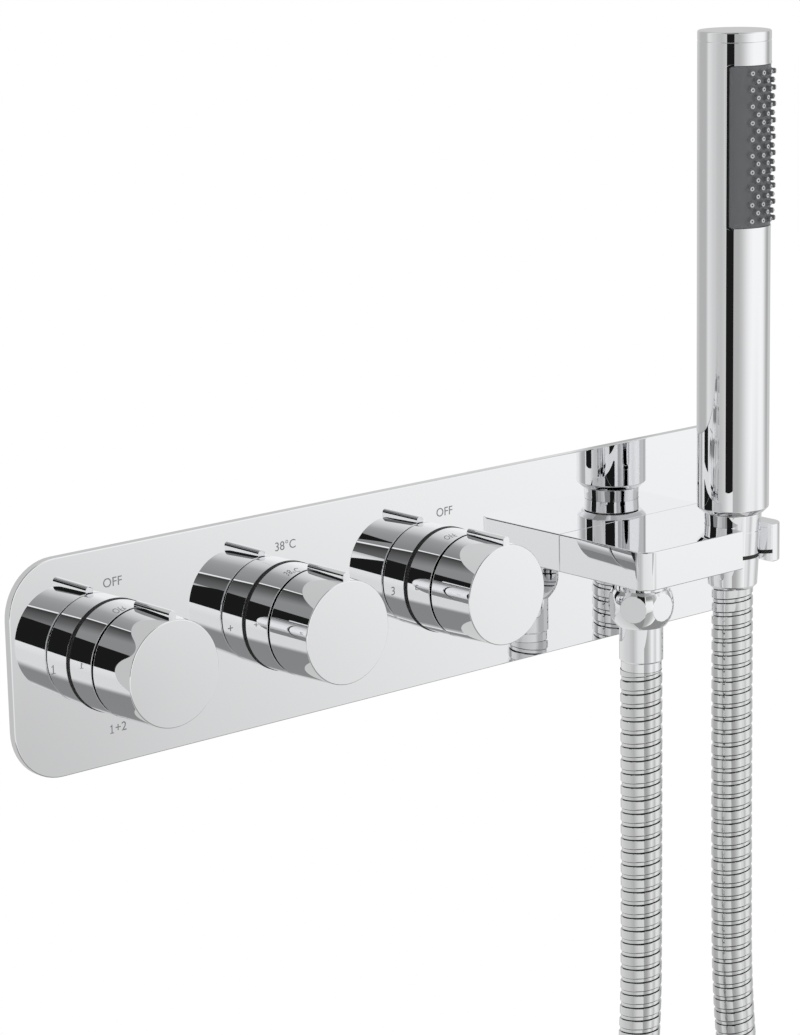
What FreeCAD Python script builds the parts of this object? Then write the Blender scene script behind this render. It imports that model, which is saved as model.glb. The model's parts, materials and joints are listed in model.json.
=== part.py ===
"""Three-handle thermostatic shower valve with an outlet shelf, hose and pencil handset.

Frame: +X to the right and +Z up as the user faces the valve, front towards -Y.
The origin is the centre of the four fixing holes, in the plane of the ears' backs;
the temperature knob's axis passes through it. All sizes are in millimetres.
"""
import FreeCAD, Part

import math
import os
import re

import Sketcher
from FreeCAD import Rotation, Vector

# ---------------------------------------------------------------- driving dimensions
SIZES = (
    # fits
    ("fixed_gap", 0.05, "radial gap of pieces that are screwed or pushed together"),
    ("running_gap", 0.06, "radial gap of a shaft or piston that turns or slides"),
    ("free_gap", 0.3, "gap between faces that move past each other"),
    # wall plate
    ("mount_depth", 75, "fixing ears' backs to the wall plate's front"),
    ("plate_length", 370, "wall plate, left to right"),
    ("plate_height", 80, "wall plate, top to bottom"),
    ("plate_thickness", 2.8, "wall plate"),
    ("plate_corner", 20, "wall plate's corner radius"),
    ("plate_edge", 0.5, "wall plate's front edge rounding"),
    ("plate_margin", 44.5, "plate's left end to the first knob's axis"),
    ("gasket_inset", 4, "gasket's edge behind the plate's edge"),
    ("gasket_thickness", 2.5, "foam gasket"),
    # knobs
    ("knob_spacing", 79, "axis to axis"),
    ("trim_radius", 20.85, "black trim ring, outside"),
    ("trim_thickness", 1, "black trim ring"),
    ("sleeve_back_radius", 20.65, "fixed sleeve at the trim ring"),
    ("sleeve_front_radius", 20.35, "fixed sleeve at the groove"),
    ("sleeve_length", 12.4, "fixed sleeve"),
    ("sleeve_wall", 1.8, "sleeve's side and front walls"),
    ("sleeve_hole_radius", 8, "sleeve's front hole round the spindle"),
    ("groove_width", 1, "groove between sleeve and handle"),
    ("handle_back_radius", 20.3, "handle at the groove"),
    ("handle_front_radius", 19.5, "handle at its front face"),
    ("handle_length", 20.8, "handle, groove to front face"),
    ("handle_edge", 0.5, "rounding of the handle's front edge"),
    ("handle_wall", 4, "handle's side wall round the hollow"),
    ("hollow_depth", 11, "hollow in the handle's back"),
    ("handle_boss_radius", 8, "boss round the spindle"),
    ("handle_face", 2.6, "metal in front of the spindle's end"),
    ("tab_width", 3.2, "pointer tab across"),
    ("tab_top", 22.8, "knob axis to the tab's top"),
    ("tab_seat", 17.8, "knob axis to the tab's underside"),
    ("grub_radius", 2, "grub screw"),
    ("grub_length", 9, "grub screw"),
    ("grub_key", 1.1, "grub screw's hexagon socket, centre to corner"),
    ("grub_offset", 6, "grub screw's axis behind the handle's front face"),
    # turrets, cartridges and spindles
    ("turret_radius", 16.5, "cartridge housing, outside"),
    ("turret_bore_radius", 13, "cartridge housing, inside"),
    ("turret_front", 7, "plate's front to the turret's mouth"),
    ("plate_hole_gap", 0.7, "plate hole's radial gap round a turret"),
    ("ceramic_floor", 23, "ears' backs to the ceramic cartridges' seat"),
    ("thermostat_floor", 8, "ears' backs to the thermostatic cartridge's seat"),
    ("cartridge_front", 0.5, "plate's front to the cartridges' front"),
    ("spindle_radius", 4.5, "spindle's stem"),
    ("spindle_foot_radius", 9, "ceramic spindle's foot"),
    ("spindle_foot_height", 4, "spindle's foot"),
    ("disc_radius", 10.2, "ceramic discs"),
    ("disc_height", 4, "each ceramic disc"),
    ("disc_seat_height", 16, "cartridge seat to the fixed disc"),
    ("disc_port_radius", 2.5, "water holes in the discs"),
    ("disc_port_offset", 5.5, "disc's axis to its water holes"),
    ("water_entry_radius", 6, "water entry in a ceramic cartridge's base"),
    ("window_radius", 3, "water windows in the cartridges' sides"),
    ("nut_bore_radius", 6, "cartridge nut, inside"),
    ("nut_corner_radius", 12.4, "cartridge nut's hexagon, centre to corner"),
    ("nut_head_height", 2.5, "cartridge nut's hexagon"),
    ("stop_ring_radius", 11, "temperature stop ring, outside"),
    ("stop_ring_height", 1.8, "temperature stop ring"),
    # thermostat
    ("shuttle_bore_radius", 9, "bore in which the shuttle slides"),
    ("shuttle_length", 5, "shuttle"),
    ("shuttle_travel", 1.5, "shuttle's travel each way"),
    ("cartridge_base", 2.5, "thermostatic cartridge's base"),
    ("mixing_length", 18, "shuttle's front to the mixing chamber's front wall"),
    ("mixing_wall", 2, "mixing chamber's front wall"),
    ("spring_length", 6.5, "return spring at rest"),
    ("spring_wire", 1.2, "return spring's wire"),
    ("wax_radius", 3.5, "wax element"),
    ("wax_reach", 3, "wax element behind the shuttle"),
    ("pusher_radius", 7, "temperature spindle's foot"),
    # valve body
    ("block_length", 196, "manifold block"),
    ("block_height", 34, "manifold block"),
    ("block_back", 3, "ears' backs to the block's back"),
    ("block_front", 42, "ears' backs to the block's front"),
    ("ear_width", 20, "fixing ear beyond the block"),
    ("ear_height", 60, "fixing ear"),
    ("ear_thickness", 8, "fixing ear"),
    ("fixing_spacing_across", 216, "fixing holes, left to right"),
    ("fixing_spacing_up", 44, "fixing holes, bottom to top"),
    ("fixing_hole_radius", 3.3, "fixing holes"),
    ("port_boss_radius", 13, "pipe port, outside"),
    ("port_bore_radius", 9.3, "pipe port's thread, inside"),
    ("port_bore_depth", 14, "pipe port's thread"),
    ("port_reach", 36, "valve's centre line to a port's mouth"),
    ("inlet_offset", 28, "temperature axis to each inlet"),
    ("inlet_depth", 18, "ears' backs to the inlets' axes"),
    ("outlet_offset", 14, "diverter axis to each outlet"),
    ("outlet_depth", 26, "ears' backs to the outlets' axes"),
    ("gallery_radius", 4.5, "drilled waterways"),
    ("hot_level", 14, "ears' backs to the hot waterway"),
    ("cold_level", 25, "ears' backs to the cold waterway"),
    ("mixed_level", 34.5, "ears' backs to the mixed waterway"),
    ("cross_radius", 3.5, "hot and cold waterways"),
    ("check_valve_radius", 7, "pocket for a non-return valve"),
    ("check_valve_length", 13, "non-return valve"),
    ("check_valve_bore", 4, "non-return valve, inside"),
    ("arm_radius", 10, "arm that feeds the shelf, outside"),
    ("arm_level", 28, "ears' backs to the arm's axis"),
    ("feed_boss_radius", 11, "boss round the feed nipple"),
    ("feed_boss_front", 60, "ears' backs to the feed boss's mouth"),
    # feed nipple and shelf
    ("feed_radius", 6.5, "feed nipple, outside"),
    ("feed_bore_radius", 4, "feed nipple, inside"),
    ("feed_insertion", 10, "feed nipple's length in the shelf"),
    ("feed_depth", 15.9, "feed nipple's length in its boss"),
    ("seal_depth", 1.5, "feed seals, radially"),
    ("seal_width", 1.8, "feed seals, along the nipple"),
    ("seal_inset", 5, "feed seals from the nipple's ends"),
    ("plate_end", 26.4, "shelf's right side to the plate's right end"),
    ("shelf_length", 80, "shelf, left to right"),
    ("shelf_depth", 48.7, "shelf, plate to front"),
    ("shelf_height", 15.6, "shelf, top to bottom"),
    ("shelf_corner", 6, "shelf's front corner radius"),
    ("shelf_edge", 0.5, "rounding of the shelf's edges"),
    ("shelf_waterway", 4.5, "radius of the waterway in the shelf"),
    ("shelf_screw_radius", 2.5, "screws that hold the shelf"),
    ("shelf_screw_depth", 12, "screws' length in the shelf"),
    ("shelf_screw_head", 4.4, "screw heads' radius"),
    ("shelf_screw_cap", 2.4, "screw heads' height"),
    ("shelf_screw_key", 1.3, "screws' hexagon socket, centre to corner"),
    ("shelf_screw_left", 24, "outlet's axis to the first shelf screw"),
    ("shelf_screw_right", 56, "outlet's axis to the second shelf screw"),
    ("outlet_inset", 13, "shelf's left side to the outlet's axis"),
    ("outlet_out", 33, "plate's front to the outlet's axis"),
    ("holder_inset", 63.5, "shelf's left side to the handset's axis"),
    ("holder_out", 34.8, "plate's front to the handset's axis"),
    ("mouth_width", 17.5, "holder's slot"),
    # outlet nipple, hose nut and ferrule
    ("thread_radius", 10.35, "half-inch male thread, outside"),
    ("thread_bore", 6, "bore of the male threads"),
    ("nipple_root_radius", 8, "outlet nipple's root in the shelf"),
    ("nipple_root_height", 5.5, "outlet nipple's root in the shelf"),
    ("nipple_length", 11.2, "outlet nipple's thread"),
    ("washer_height", 1, "hose washers"),
    ("hose_flange_radius", 10.2, "flanges of the hose's end bushes"),
    ("hose_flange_height", 1.5, "flanges of the hose's end bushes"),
    ("ball_radius", 13.1, "hose nut's ball"),
    ("ball_apothem", 12, "hose nut's axis to each flat"),
    ("ball_top", 6.5, "ball's centre to the nut's top"),
    ("ball_bottom", 8.6, "ball's centre to the nut's bottom"),
    ("nut_lip", 4, "hose nut below the ferrule's flange"),
    ("ferrule_radius", 8.75, "hose ferrule, outside"),
    ("ferrule_length", 14.7, "hose ferrule below the nut"),
    ("ferrule_chamfer", 0.7, "hose ferrule's top and bottom edges"),
    ("collar_radius", 8.15, "collar below the ferrule"),
    ("collar_height", 3.5, "collar below the ferrule"),
    # hose
    ("hose_radius", 8.4, "ribbed hose, over its ribs"),
    ("hose_root_radius", 7.5, "ribbed hose, between its ribs"),
    ("hose_bore_radius", 5.5, "ribbed hose, inside"),
    ("hose_rib_count", 190, "ribs that are modelled"),
    # conical nut
    ("cone_top_radius", 11.7, "conical nut at its top"),
    ("cone_bottom_radius", 10, "conical nut above its chamfer"),
    ("cone_chamfer", 1.4, "conical nut's bottom chamfer"),
    ("cone_top", 12.7, "shelf's mid-height to the conical nut's top"),
    ("cone_height", 31.2, "conical nut"),
    ("cone_band_height", 1.6, "black band round the conical nut"),
    ("cone_band_level", 4, "shelf's mid-height down to the band"),
    ("cone_band_depth", 0.8, "black band, radially"),
    ("bush_radius", 8.5, "bush in the conical nut"),
    # handset
    ("handset_radius", 14.55, "handset, outside"),
    ("handset_bottom", 13, "shelf's mid-height to the handset's bottom"),
    ("handset_length", 188.4, "handset without its cap"),
    ("handset_wall", 1.9, "handset's wall"),
    ("handset_floor", 4, "handset's bottom wall"),
    ("handset_chamfer", 2, "handset's bottom edge"),
    ("handset_turn", 8, "rest direction of the spray, from the front to the right"),
    ("cap_height", 4, "handset's cap"),
    ("cap_edge", 0.7, "cap's top edge rounding"),
    ("cap_line", 0.3, "shadow line under the cap"),
    ("cap_plug", 3, "cap's plug in the handset"),
    ("spigot_flange", 3, "spigot's flange in the handset"),
    ("restrictor_height", 3, "flow restrictor"),
    ("restrictor_bore", 2.5, "flow restrictor, inside"),
    ("tube_radius", 6.5, "water tube, outside"),
    ("tube_bore", 5, "water tube, inside"),
    ("insert_top", 13, "handset's top to the spray insert"),
    ("insert_length", 63.5, "spray insert"),
    ("insert_span", 126, "spray insert round the handset, in degrees"),
    ("insert_recess", 0.15, "spray insert below the handset's surface"),
    ("insert_thickness", 1.9, "spray insert"),
    ("chamber_margin", 5, "spray chamber beyond the insert, each end"),
    ("chamber_bore", 8, "spray chamber, inside"),
    ("nozzle_radius", 1.15, "nozzle at its root"),
    ("nozzle_tip_radius", 0.85, "nozzle at its tip"),
    ("nozzle_height", 2, "nozzle above the handset's surface"),
    ("nozzle_columns", 7, "columns of nozzles"),
    ("nozzle_rows", 10, "nozzles in a long column"),
    ("nozzle_pitch", 6.4, "nozzle to nozzle in a column"),
    ("nozzle_angle", 9.5, "column to column, in degrees"),
)

doc = FreeCAD.newDocument("thermostatic_shower_valve")
sheet = doc.addObject("Spreadsheet::Sheet", "sizes")
for row, (alias, value, meaning) in enumerate(SIZES, start=1):
    sheet.set(f"A{row}", alias)
    sheet.set(f"B{row}", str(value))
    sheet.set(f"C{row}", meaning)
    sheet.setAlias(f"B{row}", alias)
doc.recompute()

# ---------------------------------------------------------------- places worked out
PLATE_FRONT = "-mount_depth"
THREAD_FLOOR = "(port_reach - port_bore_depth)"
PLATE_LEFT = "(-knob_spacing - plate_margin)"
KNOB_AXES = (("diverter", "(-knob_spacing)"), ("temperature", "0"), ("handset_flow", "knob_spacing"))
SLEEVE_FRONT = "(trim_thickness + sleeve_length)"
HANDLE_BACK = f"({SLEEVE_FRONT} + groove_width)"
HANDLE_FRONT = f"({HANDLE_BACK} + handle_length)"
SPINDLE_END = f"({HANDLE_FRONT} - handle_face)"
CERAMIC_SEAT = "(ceramic_floor - mount_depth)"
THERMOSTAT_SEAT = "(thermostat_floor - mount_depth)"
SHELF_LEFT = f"({PLATE_LEFT} + plate_length - plate_end - shelf_length)"
SHELF_HALF = "(shelf_height / 2)"
OUTLET_X = f"({SHELF_LEFT} + outlet_inset)"
OUTLET_Y = "(-mount_depth - outlet_out)"
HOLDER_X = f"({SHELF_LEFT} + holder_inset)"
HOLDER_Y = "(-mount_depth - holder_out)"
NIPPLE_END = f"(-{SHELF_HALF} - nipple_length)"
FERRULE_TOP = f"({NIPPLE_END} - washer_height)"
NUT_BOTTOM = f"({FERRULE_TOP} - hose_flange_height - nut_lip)"
BALL_CENTRE = f"({NUT_BOTTOM} + ball_bottom)"
HOSE_START = f"({NUT_BOTTOM} - ferrule_length - collar_height)"
CONE_BOTTOM = "(cone_top - cone_height)"
CONE_TAPER = "((cone_top_radius - cone_bottom_radius) / (cone_height - cone_chamfer))"
HANDSET_TOP = "(handset_bottom + handset_length)"
INSERT_HIGH = f"({HANDSET_TOP} + cap_height - insert_top)"
INSERT_LOW = f"({INSERT_HIGH} - insert_length)"
INSERT_INNER = "(handset_radius - insert_recess - insert_thickness)"
HANDSET_INNER = "(handset_radius - handset_wall)"
TURRET_HOLE = "(turret_radius + plate_hole_gap)"
FEED_HOLE = "(feed_radius + plate_hole_gap)"

# Rotations that take an object's own +Z to the named direction.
UP = Rotation()
OUT = Rotation(Vector(1, 0, 0), 90)
DOWN = Rotation(Vector(1, 0, 0), 180)
RIGHT = Rotation(Vector(0, 1, 0), 90)

ALIASES = re.compile(r"\b(" + "|".join(alias for alias, _, _ in SIZES) + r")\b")
nodes = {}


# ---------------------------------------------------------------- helpers
def formula(text):
    """An expression in which the sheet's names are written out in full."""
    return ALIASES.sub(r"sizes.\1", str(text))


def number(text):
    """The present value of an expression."""
    return float(sheet.evalExpression(formula(text)))


def bind(thing, name, text):
    thing.setExpression(name, formula(text))


def place(thing, at=("0", "0", "0"), turn=UP):
    thing.Placement = FreeCAD.Placement(Vector(), turn)
    for axis, text in zip("xyz", at):
        bind(thing, f"Placement.Base.{axis}", text)
    return thing


def node(thing, label=None):
    """Keeps an object as one of the sub-parts; its Label is the sub-part's name."""
    if label:
        thing.Label = label
    nodes[thing.Label] = thing
    return thing


def bar(label, radius, length, at, turn=UP):
    cylinder = doc.addObject("Part::Cylinder", label)
    bind(cylinder, "Radius", radius)
    bind(cylinder, "Height", length)
    return place(cylinder, at, turn)


def block(label, size, at):
    """A box from its lowest corner."""
    box = doc.addObject("Part::Box", label)
    for name, text in zip(("Length", "Width", "Height"), size):
        bind(box, name, text)
    return place(box, at)


def hexagon(label, corner_radius, height, at, turn=UP):
    prism = doc.addObject("Part::Prism", label)
    prism.Polygon = 6
    bind(prism, "Circumradius", corner_radius)
    bind(prism, "Height", height)
    return place(prism, at, turn)


def joined(label, *things):
    fuse = doc.addObject("Part::MultiFuse", label)
    fuse.Shapes = list(things)
    fuse.Refine = False
    return fuse


def cut(label, base, *tools):
    tool = tools[0] if len(tools) == 1 else joined(label + "_tools", *tools)
    result = doc.addObject("Part::Cut", label)
    result.Base = base
    result.Tool = tool
    result.Refine = True
    return result


def sketch(body, label, role, outline=(), circles=()):
    """A sketch on the body's own plane: a closed outline and circles, every size bound."""
    profile = body.newObject("Sketcher::SketchObject", label)
    plane = [feature for feature in body.Origin.OriginFeatures if feature.Role == role][0]
    profile.AttachmentSupport = [(plane, "")]
    profile.MapMode = "FlatFace"
    corners = [[number(text) for text in point] for point in outline]
    for index, corner in enumerate(corners):
        following = corners[(index + 1) % len(corners)]
        profile.addGeometry(Part.LineSegment(Vector(*corner, 0), Vector(*following, 0)))
    for index in range(len(corners)):
        following = (index + 1) % len(corners)
        profile.addConstraint(Sketcher.Constraint("Coincident", index, 2, following, 1))
        _fix_point(profile, index, 1, outline[index])
    for x, y, radius in circles:
        centre = Vector(number(x), number(y), 0)
        circle = profile.addGeometry(Part.Circle(centre, Vector(0, 0, 1), number(radius)))
        _fix_point(profile, circle, 3, (x, y))
        held = profile.addConstraint(Sketcher.Constraint("Radius", circle, number(radius)))
        bind(profile, f"Constraints[{held}]", radius)
    return profile


def _fix_point(profile, geometry, end, point):
    for kind, text in zip(("DistanceX", "DistanceY"), point):
        rule = Sketcher.Constraint(kind, -1, 1, geometry, end, number(text))
        held = profile.addConstraint(rule)
        bind(profile, f"Constraints[{held}]", text)


def turned(label, outline, at=("0", "0", "0"), turn=UP, span=None):
    """A body of revolution. The outline's points are (radius, distance along the axis)."""
    body = doc.addObject("PartDesign::Body", label)
    profile = sketch(body, label + "_profile", "XZ_Plane", outline)
    revolution = body.newObject("PartDesign::Revolution", label + "_turned")
    revolution.Profile = profile
    revolution.ReferenceAxis = (profile, ["V_Axis"])
    revolution.Angle = 360
    if span:
        revolution.Midplane = True
        bind(revolution, "Angle", span)
    place(body, at, turn)
    doc.recompute()
    return body


def pressed(label, height, at=("0", "0", "0"), turn=UP, outline=(), circles=()):
    """A flat body: an outline with holes, or a disc whose first circle is its edge."""
    body = doc.addObject("PartDesign::Body", label)
    profile = sketch(body, label + "_profile", "XY_Plane", outline, circles)
    pad = body.newObject("PartDesign::Pad", label + "_pad")
    pad.Profile = profile
    bind(pad, "Length", height)
    place(body, at, turn)
    doc.recompute()
    return body


def rounded(body, radius, picks):
    """Rounds those edges of the body, in its own frame, that picks says yes to."""
    base = body.Tip
    names = [f"Edge{i}" for i, edge in enumerate(base.Shape.Edges, start=1) if picks(edge)]
    fillet = body.newObject("PartDesign::Fillet", body.Label + "_rounding")
    fillet.Base = (base, names)
    bind(fillet, "Radius", radius)
    doc.recompute()
    return body


def along_z(edge):
    return abs(edge.tangentAt(edge.FirstParameter).z) > 0.999


def at_level(distance):
    """Picks edges that lie wholly at one distance along the body's own Z."""
    height = number(distance)

    def picks(edge):
        box = edge.BoundBox
        return abs(box.ZMin - height) < 1e-4 and abs(box.ZMax - height) < 1e-4

    return picks


def ring(label, inner, outer, low, high, at, turn=UP):
    outline = ((inner, low), (outer, low), (outer, high), (inner, high))
    return turned(label, outline, at, turn)


# ---------------------------------------------------------------- wall plate and gasket
def screw_places():
    return [f"({OUTLET_X} + {offset})" for offset in ("shelf_screw_left", "shelf_screw_right")]


def plate_holes(screw_hole):
    holes = [(axis, "0", TURRET_HOLE) for _, axis in KNOB_AXES]
    holes.append((OUTLET_X, "0", FEED_HOLE))
    holes.extend((x, "0", screw_hole) for x in screw_places())
    return holes


def rectangle(left, right, half_height):
    return ((left, f"-{half_height}"), (right, f"-{half_height}"), (right, half_height), (left, half_height))


def make_wall_plate():
    outline = rectangle(PLATE_LEFT, f"({PLATE_LEFT} + plate_length)", "(plate_height / 2)")
    holes = plate_holes("(shelf_screw_radius + fixed_gap)")
    back = f"({PLATE_FRONT} + plate_thickness)"
    plate = pressed("wall_plate", "plate_thickness", ("0", back, "0"), OUT, outline, holes)
    rounded(plate, "plate_corner", along_z)
    on_front = at_level("plate_thickness")
    node(rounded(plate, "plate_edge", lambda edge: on_front(edge) and not edge.isClosed()))


def make_gasket():
    half = "(plate_height / 2 - gasket_inset)"
    right = f"({PLATE_LEFT} + plate_length - gasket_inset)"
    outline = rectangle(f"({PLATE_LEFT} + gasket_inset)", right, half)
    holes = plate_holes("(shelf_screw_head + plate_hole_gap)")
    back = f"({PLATE_FRONT} + plate_thickness + gasket_thickness)"
    gasket = pressed("plate_gasket", "gasket_thickness", ("0", back, "0"), OUT, outline, holes)
    node(rounded(gasket, "(plate_corner - gasket_inset)", along_z))


# ---------------------------------------------------------------- valve body
def level(depth):
    """The Y of a point at that distance in front of the ears' backs."""
    return f"(-({depth}))"


def make_valve_body():
    half = "(block_length / 2)"
    solids = [
        block(
            "body_block",
            ("block_length", "(block_front - block_back)", "block_height"),
            (f"-{half}", level("block_front"), "(-block_height / 2)"),
        )
    ]
    voids = []
    for name, x in KNOB_AXES:
        floor = "thermostat_floor" if name == "temperature" else "ceramic_floor"
        root = f"(({floor} + block_front) / 2)"
        reach = "(mount_depth + turret_front)"
        solids.append(
            bar(f"{name}_turret", "turret_radius", f"({reach} - {root})", (x, level(root), "0"), OUT)
        )
        voids.append(
            bar(f"{name}_bore", "turret_bore_radius", f"({reach} - {floor})", (x, level(floor), "0"), OUT)
        )
    for side, sign in (("left", "-1"), ("right", "1")):
        start = f"({sign} * {half})" if sign == "1" else f"(-{half} - ear_width)"
        overlap = "8"
        x = f"({start} - {overlap})" if sign == "1" else start
        solids.append(
            block(
                f"{side}_ear",
                (f"(ear_width + {overlap})", "ear_thickness", "ear_height"),
                (x, level("ear_thickness"), "(-ear_height / 2)"),
            )
        )
        for up, lift in (("low", "-1"), ("high", "1")):
            at = (
                f"({sign} * fixing_spacing_across / 2)",
                "0",
                f"({lift} * fixing_spacing_up / 2)",
            )
            voids.append(bar(f"{side}_{up}_hole", "fixing_hole_radius", "ear_thickness", at, OUT))
    ports(voids)
    shelf_feed(solids, voids)
    casting = joined("body_casting", *solids)
    node(cut("valve_body", casting, *voids))


def ports(voids):
    """The waterways between the cartridges and the pipe ports, drilled in the casting."""
    for name, side, reach, cross in (("hot", "-", "hot_level", "left"), ("cold", "", "cold_level", "right")):
        x = f"({side}inlet_offset)"
        y = level("inlet_depth")
        pocket = f"({THREAD_FLOOR} - block_height / 2)"
        pocket_top = f"({THREAD_FLOOR} - check_valve_length)"
        deep = f"(check_valve_length - {pocket})"
        voids.append(bar(f"{name}_pocket", "check_valve_radius", deep, (x, y, "(-block_height / 2)")))
        voids.append(bar(f"{name}_riser", "gallery_radius", pocket_top, (x, y, f"(-{pocket_top})")))
        start = x if cross == "left" else "0"
        voids.append(
            bar(f"{name}_waterway", "cross_radius", "inlet_offset", (start, level(reach), "0"), RIGHT)
        )
    for name, side in (("outlet_1", "-"), ("outlet_2", "+")):
        x = f"(-knob_spacing {side} outlet_offset)"
        foot = "(turret_bore_radius / 2)"
        rise = f"(block_height / 2 - {foot})"
        voids.append(bar(f"{name}_riser", "gallery_radius", rise, (x, level("outlet_depth"), foot)))
    at = ("-knob_spacing", level("mixed_level"), "0")
    voids.append(bar("mixed_waterway", "gallery_radius", "(2 * knob_spacing)", at, RIGHT))


def make_ports():
    """Threaded pipe unions: hot and cold from below, outlets 1 and 2 to above."""
    places = (
        ("hot_port", "(-inlet_offset)", "inlet_depth", "check_valve_radius", DOWN),
        ("cold_port", "inlet_offset", "inlet_depth", "check_valve_radius", DOWN),
        ("outlet_1_port", "(-knob_spacing - outlet_offset)", "outlet_depth", "gallery_radius", UP),
        ("outlet_2_port", "(-knob_spacing + outlet_offset)", "outlet_depth", "gallery_radius", UP),
    )
    for name, x, depth, bore, turn in places:
        outline = (
            (bore, "(block_height / 2)"),
            ("port_boss_radius", "(block_height / 2)"),
            ("port_boss_radius", "port_reach"),
            ("port_bore_radius", "port_reach"),
            ("port_bore_radius", THREAD_FLOOR),
            (bore, THREAD_FLOOR),
        )
        node(turned(name, outline, (x, level(depth), "0"), turn))


def shelf_feed(solids, voids):
    """The arm from the last cartridge to the boss behind the shelf."""
    run = f"({OUTLET_X} - knob_spacing)"
    at = ("knob_spacing", level("arm_level"), "0")
    solids.append(bar("feed_arm", "arm_radius", f"({run} + arm_radius)", at, RIGHT))
    voids.append(bar("arm_waterway", "gallery_radius", run, at, RIGHT))
    reach = "(feed_boss_front - arm_level)"
    at = (OUTLET_X, level("arm_level"), "0")
    solids.append(bar("feed_boss", "feed_boss_radius", reach, at, OUT))
    voids.append(bar("feed_bore", "gallery_radius", reach, at, OUT))
    depth = "(feed_depth + fixed_gap)"
    at = (OUTLET_X, level(f"feed_boss_front - {depth}"), "0")
    voids.append(bar("feed_socket", "(feed_radius + fixed_gap)", depth, at, OUT))


def make_check_valves():
    """A non-return valve in each inlet, held between its port and the casting."""
    outer = "(check_valve_radius - fixed_gap)"
    length = "(check_valve_length - fixed_gap)"
    valves = doc.addObject("Part::Compound", "check_valves")
    valves.Links = [
        ring(
            f"check_valve_{i}",
            "check_valve_bore",
            outer,
            "0",
            length,
            (x, level("inlet_depth"), f"(-{THREAD_FLOOR})"),
        )
        for i, x in enumerate(("(-inlet_offset)", "inlet_offset"))
    ]
    node(valves)


# ---------------------------------------------------------------- cartridges
def make_cartridge(name, x):
    """A cartridge with its nut, its spindle and what moves the water inside it."""
    at = (x, PLATE_FRONT, "0")
    outer = "(turret_bore_radius - fixed_gap)"
    stem = "(spindle_radius + running_gap)"
    if name == "temperature":
        outline, foot_radius, foot_low, windows = thermostat_profile(outer, stem)
    else:
        outline, foot_radius, foot_low, windows = ceramic_profile(outer, stem)
    blank = turned(f"{name}_cartridge_blank", outline, at, OUT)
    tools = []
    for i, (side, depth) in enumerate(windows):
        start = (f"({x} {side})", level(depth), "0")
        tools.append(bar(f"{name}_window_{i}", "window_radius", "turret_bore_radius", start, RIGHT))
    node(cut(f"{name}_cartridge", blank, *tools))
    make_spindle(name, at, foot_radius, foot_low)
    make_cartridge_nut(name, at)


def ceramic_profile(outer, stem):
    seat = f"({CERAMIC_SEAT} + disc_seat_height)"
    foot_low = f"({seat} + 2 * disc_height)"
    shoulder = f"({foot_low} + spindle_foot_height + free_gap)"
    chamber = "(disc_radius + free_gap)"
    outline = (
        ("water_entry_radius", CERAMIC_SEAT),
        (outer, CERAMIC_SEAT),
        (outer, "cartridge_front"),
        (stem, "cartridge_front"),
        (stem, shoulder),
        (chamber, shoulder),
        (chamber, seat),
        ("water_entry_radius", seat),
    )
    windows = (("- turret_bore_radius", "mixed_level"), ("+ 0", "mixed_level"))
    return outline, "spindle_foot_radius", foot_low, windows


def thermostat_profile(outer, stem):
    floor = f"({THERMOSTAT_SEAT} + cartridge_base)"
    roof = f"({floor} + spring_length + shuttle_length + mixing_length)"
    foot_low = f"({roof} + mixing_wall + free_gap)"
    foot_high = f"({foot_low} + spindle_foot_height)"
    outline = (
        ("0", THERMOSTAT_SEAT),
        (outer, THERMOSTAT_SEAT),
        (outer, "cartridge_front"),
        (stem, "cartridge_front"),
        (stem, f"({foot_high} + free_gap)"),
        ("(pusher_radius + free_gap)", f"({foot_high} + free_gap)"),
        ("(pusher_radius + free_gap)", f"({roof} + mixing_wall)"),
        ("(wax_radius + free_gap)", f"({roof} + mixing_wall)"),
        ("(wax_radius + free_gap)", roof),
        ("shuttle_bore_radius", roof),
        ("shuttle_bore_radius", floor),
        ("0", floor),
    )
    windows = (
        ("- turret_bore_radius", "hot_level"),
        ("+ 0", "cold_level"),
        ("- turret_bore_radius", "mixed_level"),
        ("+ 0", "mixed_level"),
    )
    return outline, "pusher_radius", foot_low, windows


def make_spindle(name, at, foot_radius, foot_low):
    foot_high = f"({foot_low} + spindle_foot_height)"
    outline = (
        ("0", foot_low),
        (foot_radius, foot_low),
        (foot_radius, foot_high),
        ("spindle_radius", foot_high),
        ("spindle_radius", SPINDLE_END),
        ("0", SPINDLE_END),
    )
    node(turned(f"{name}_spindle", outline, at, OUT))


def make_cartridge_nut(name, at):
    start = (at[0], level("mount_depth + cartridge_front"), "0")
    head_start = (at[0], level("mount_depth + turret_front"), "0")
    reach = "(turret_front - cartridge_front)"
    thread = bar(f"{name}_nut_thread", "(turret_bore_radius - fixed_gap)", reach, start, OUT)
    head = hexagon(f"{name}_nut_head", "nut_corner_radius", "nut_head_height", head_start, OUT)
    hole = bar(f"{name}_nut_hole", "nut_bore_radius", f"({reach} + nut_head_height)", start, OUT)
    node(cut(f"{name}_cartridge_nut", joined(f"{name}_nut_blank", thread, head), hole))


def make_discs(name, x):
    """The fixed and the turning ceramic disc of a flow cartridge."""
    holes = [("disc_port_offset", "0", "disc_port_radius"), ("-disc_port_offset", "0", "disc_port_radius")]
    for index, kind in enumerate(("fixed", "moving")):
        low = f"({CERAMIC_SEAT} + disc_seat_height + {index} * disc_height)"
        at = (x, f"({PLATE_FRONT} - {low})", "0")
        circles = [("0", "0", "disc_radius")] + holes
        node(pressed(f"{name}_{kind}_disc", "disc_height", at, OUT, circles=circles))


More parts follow.
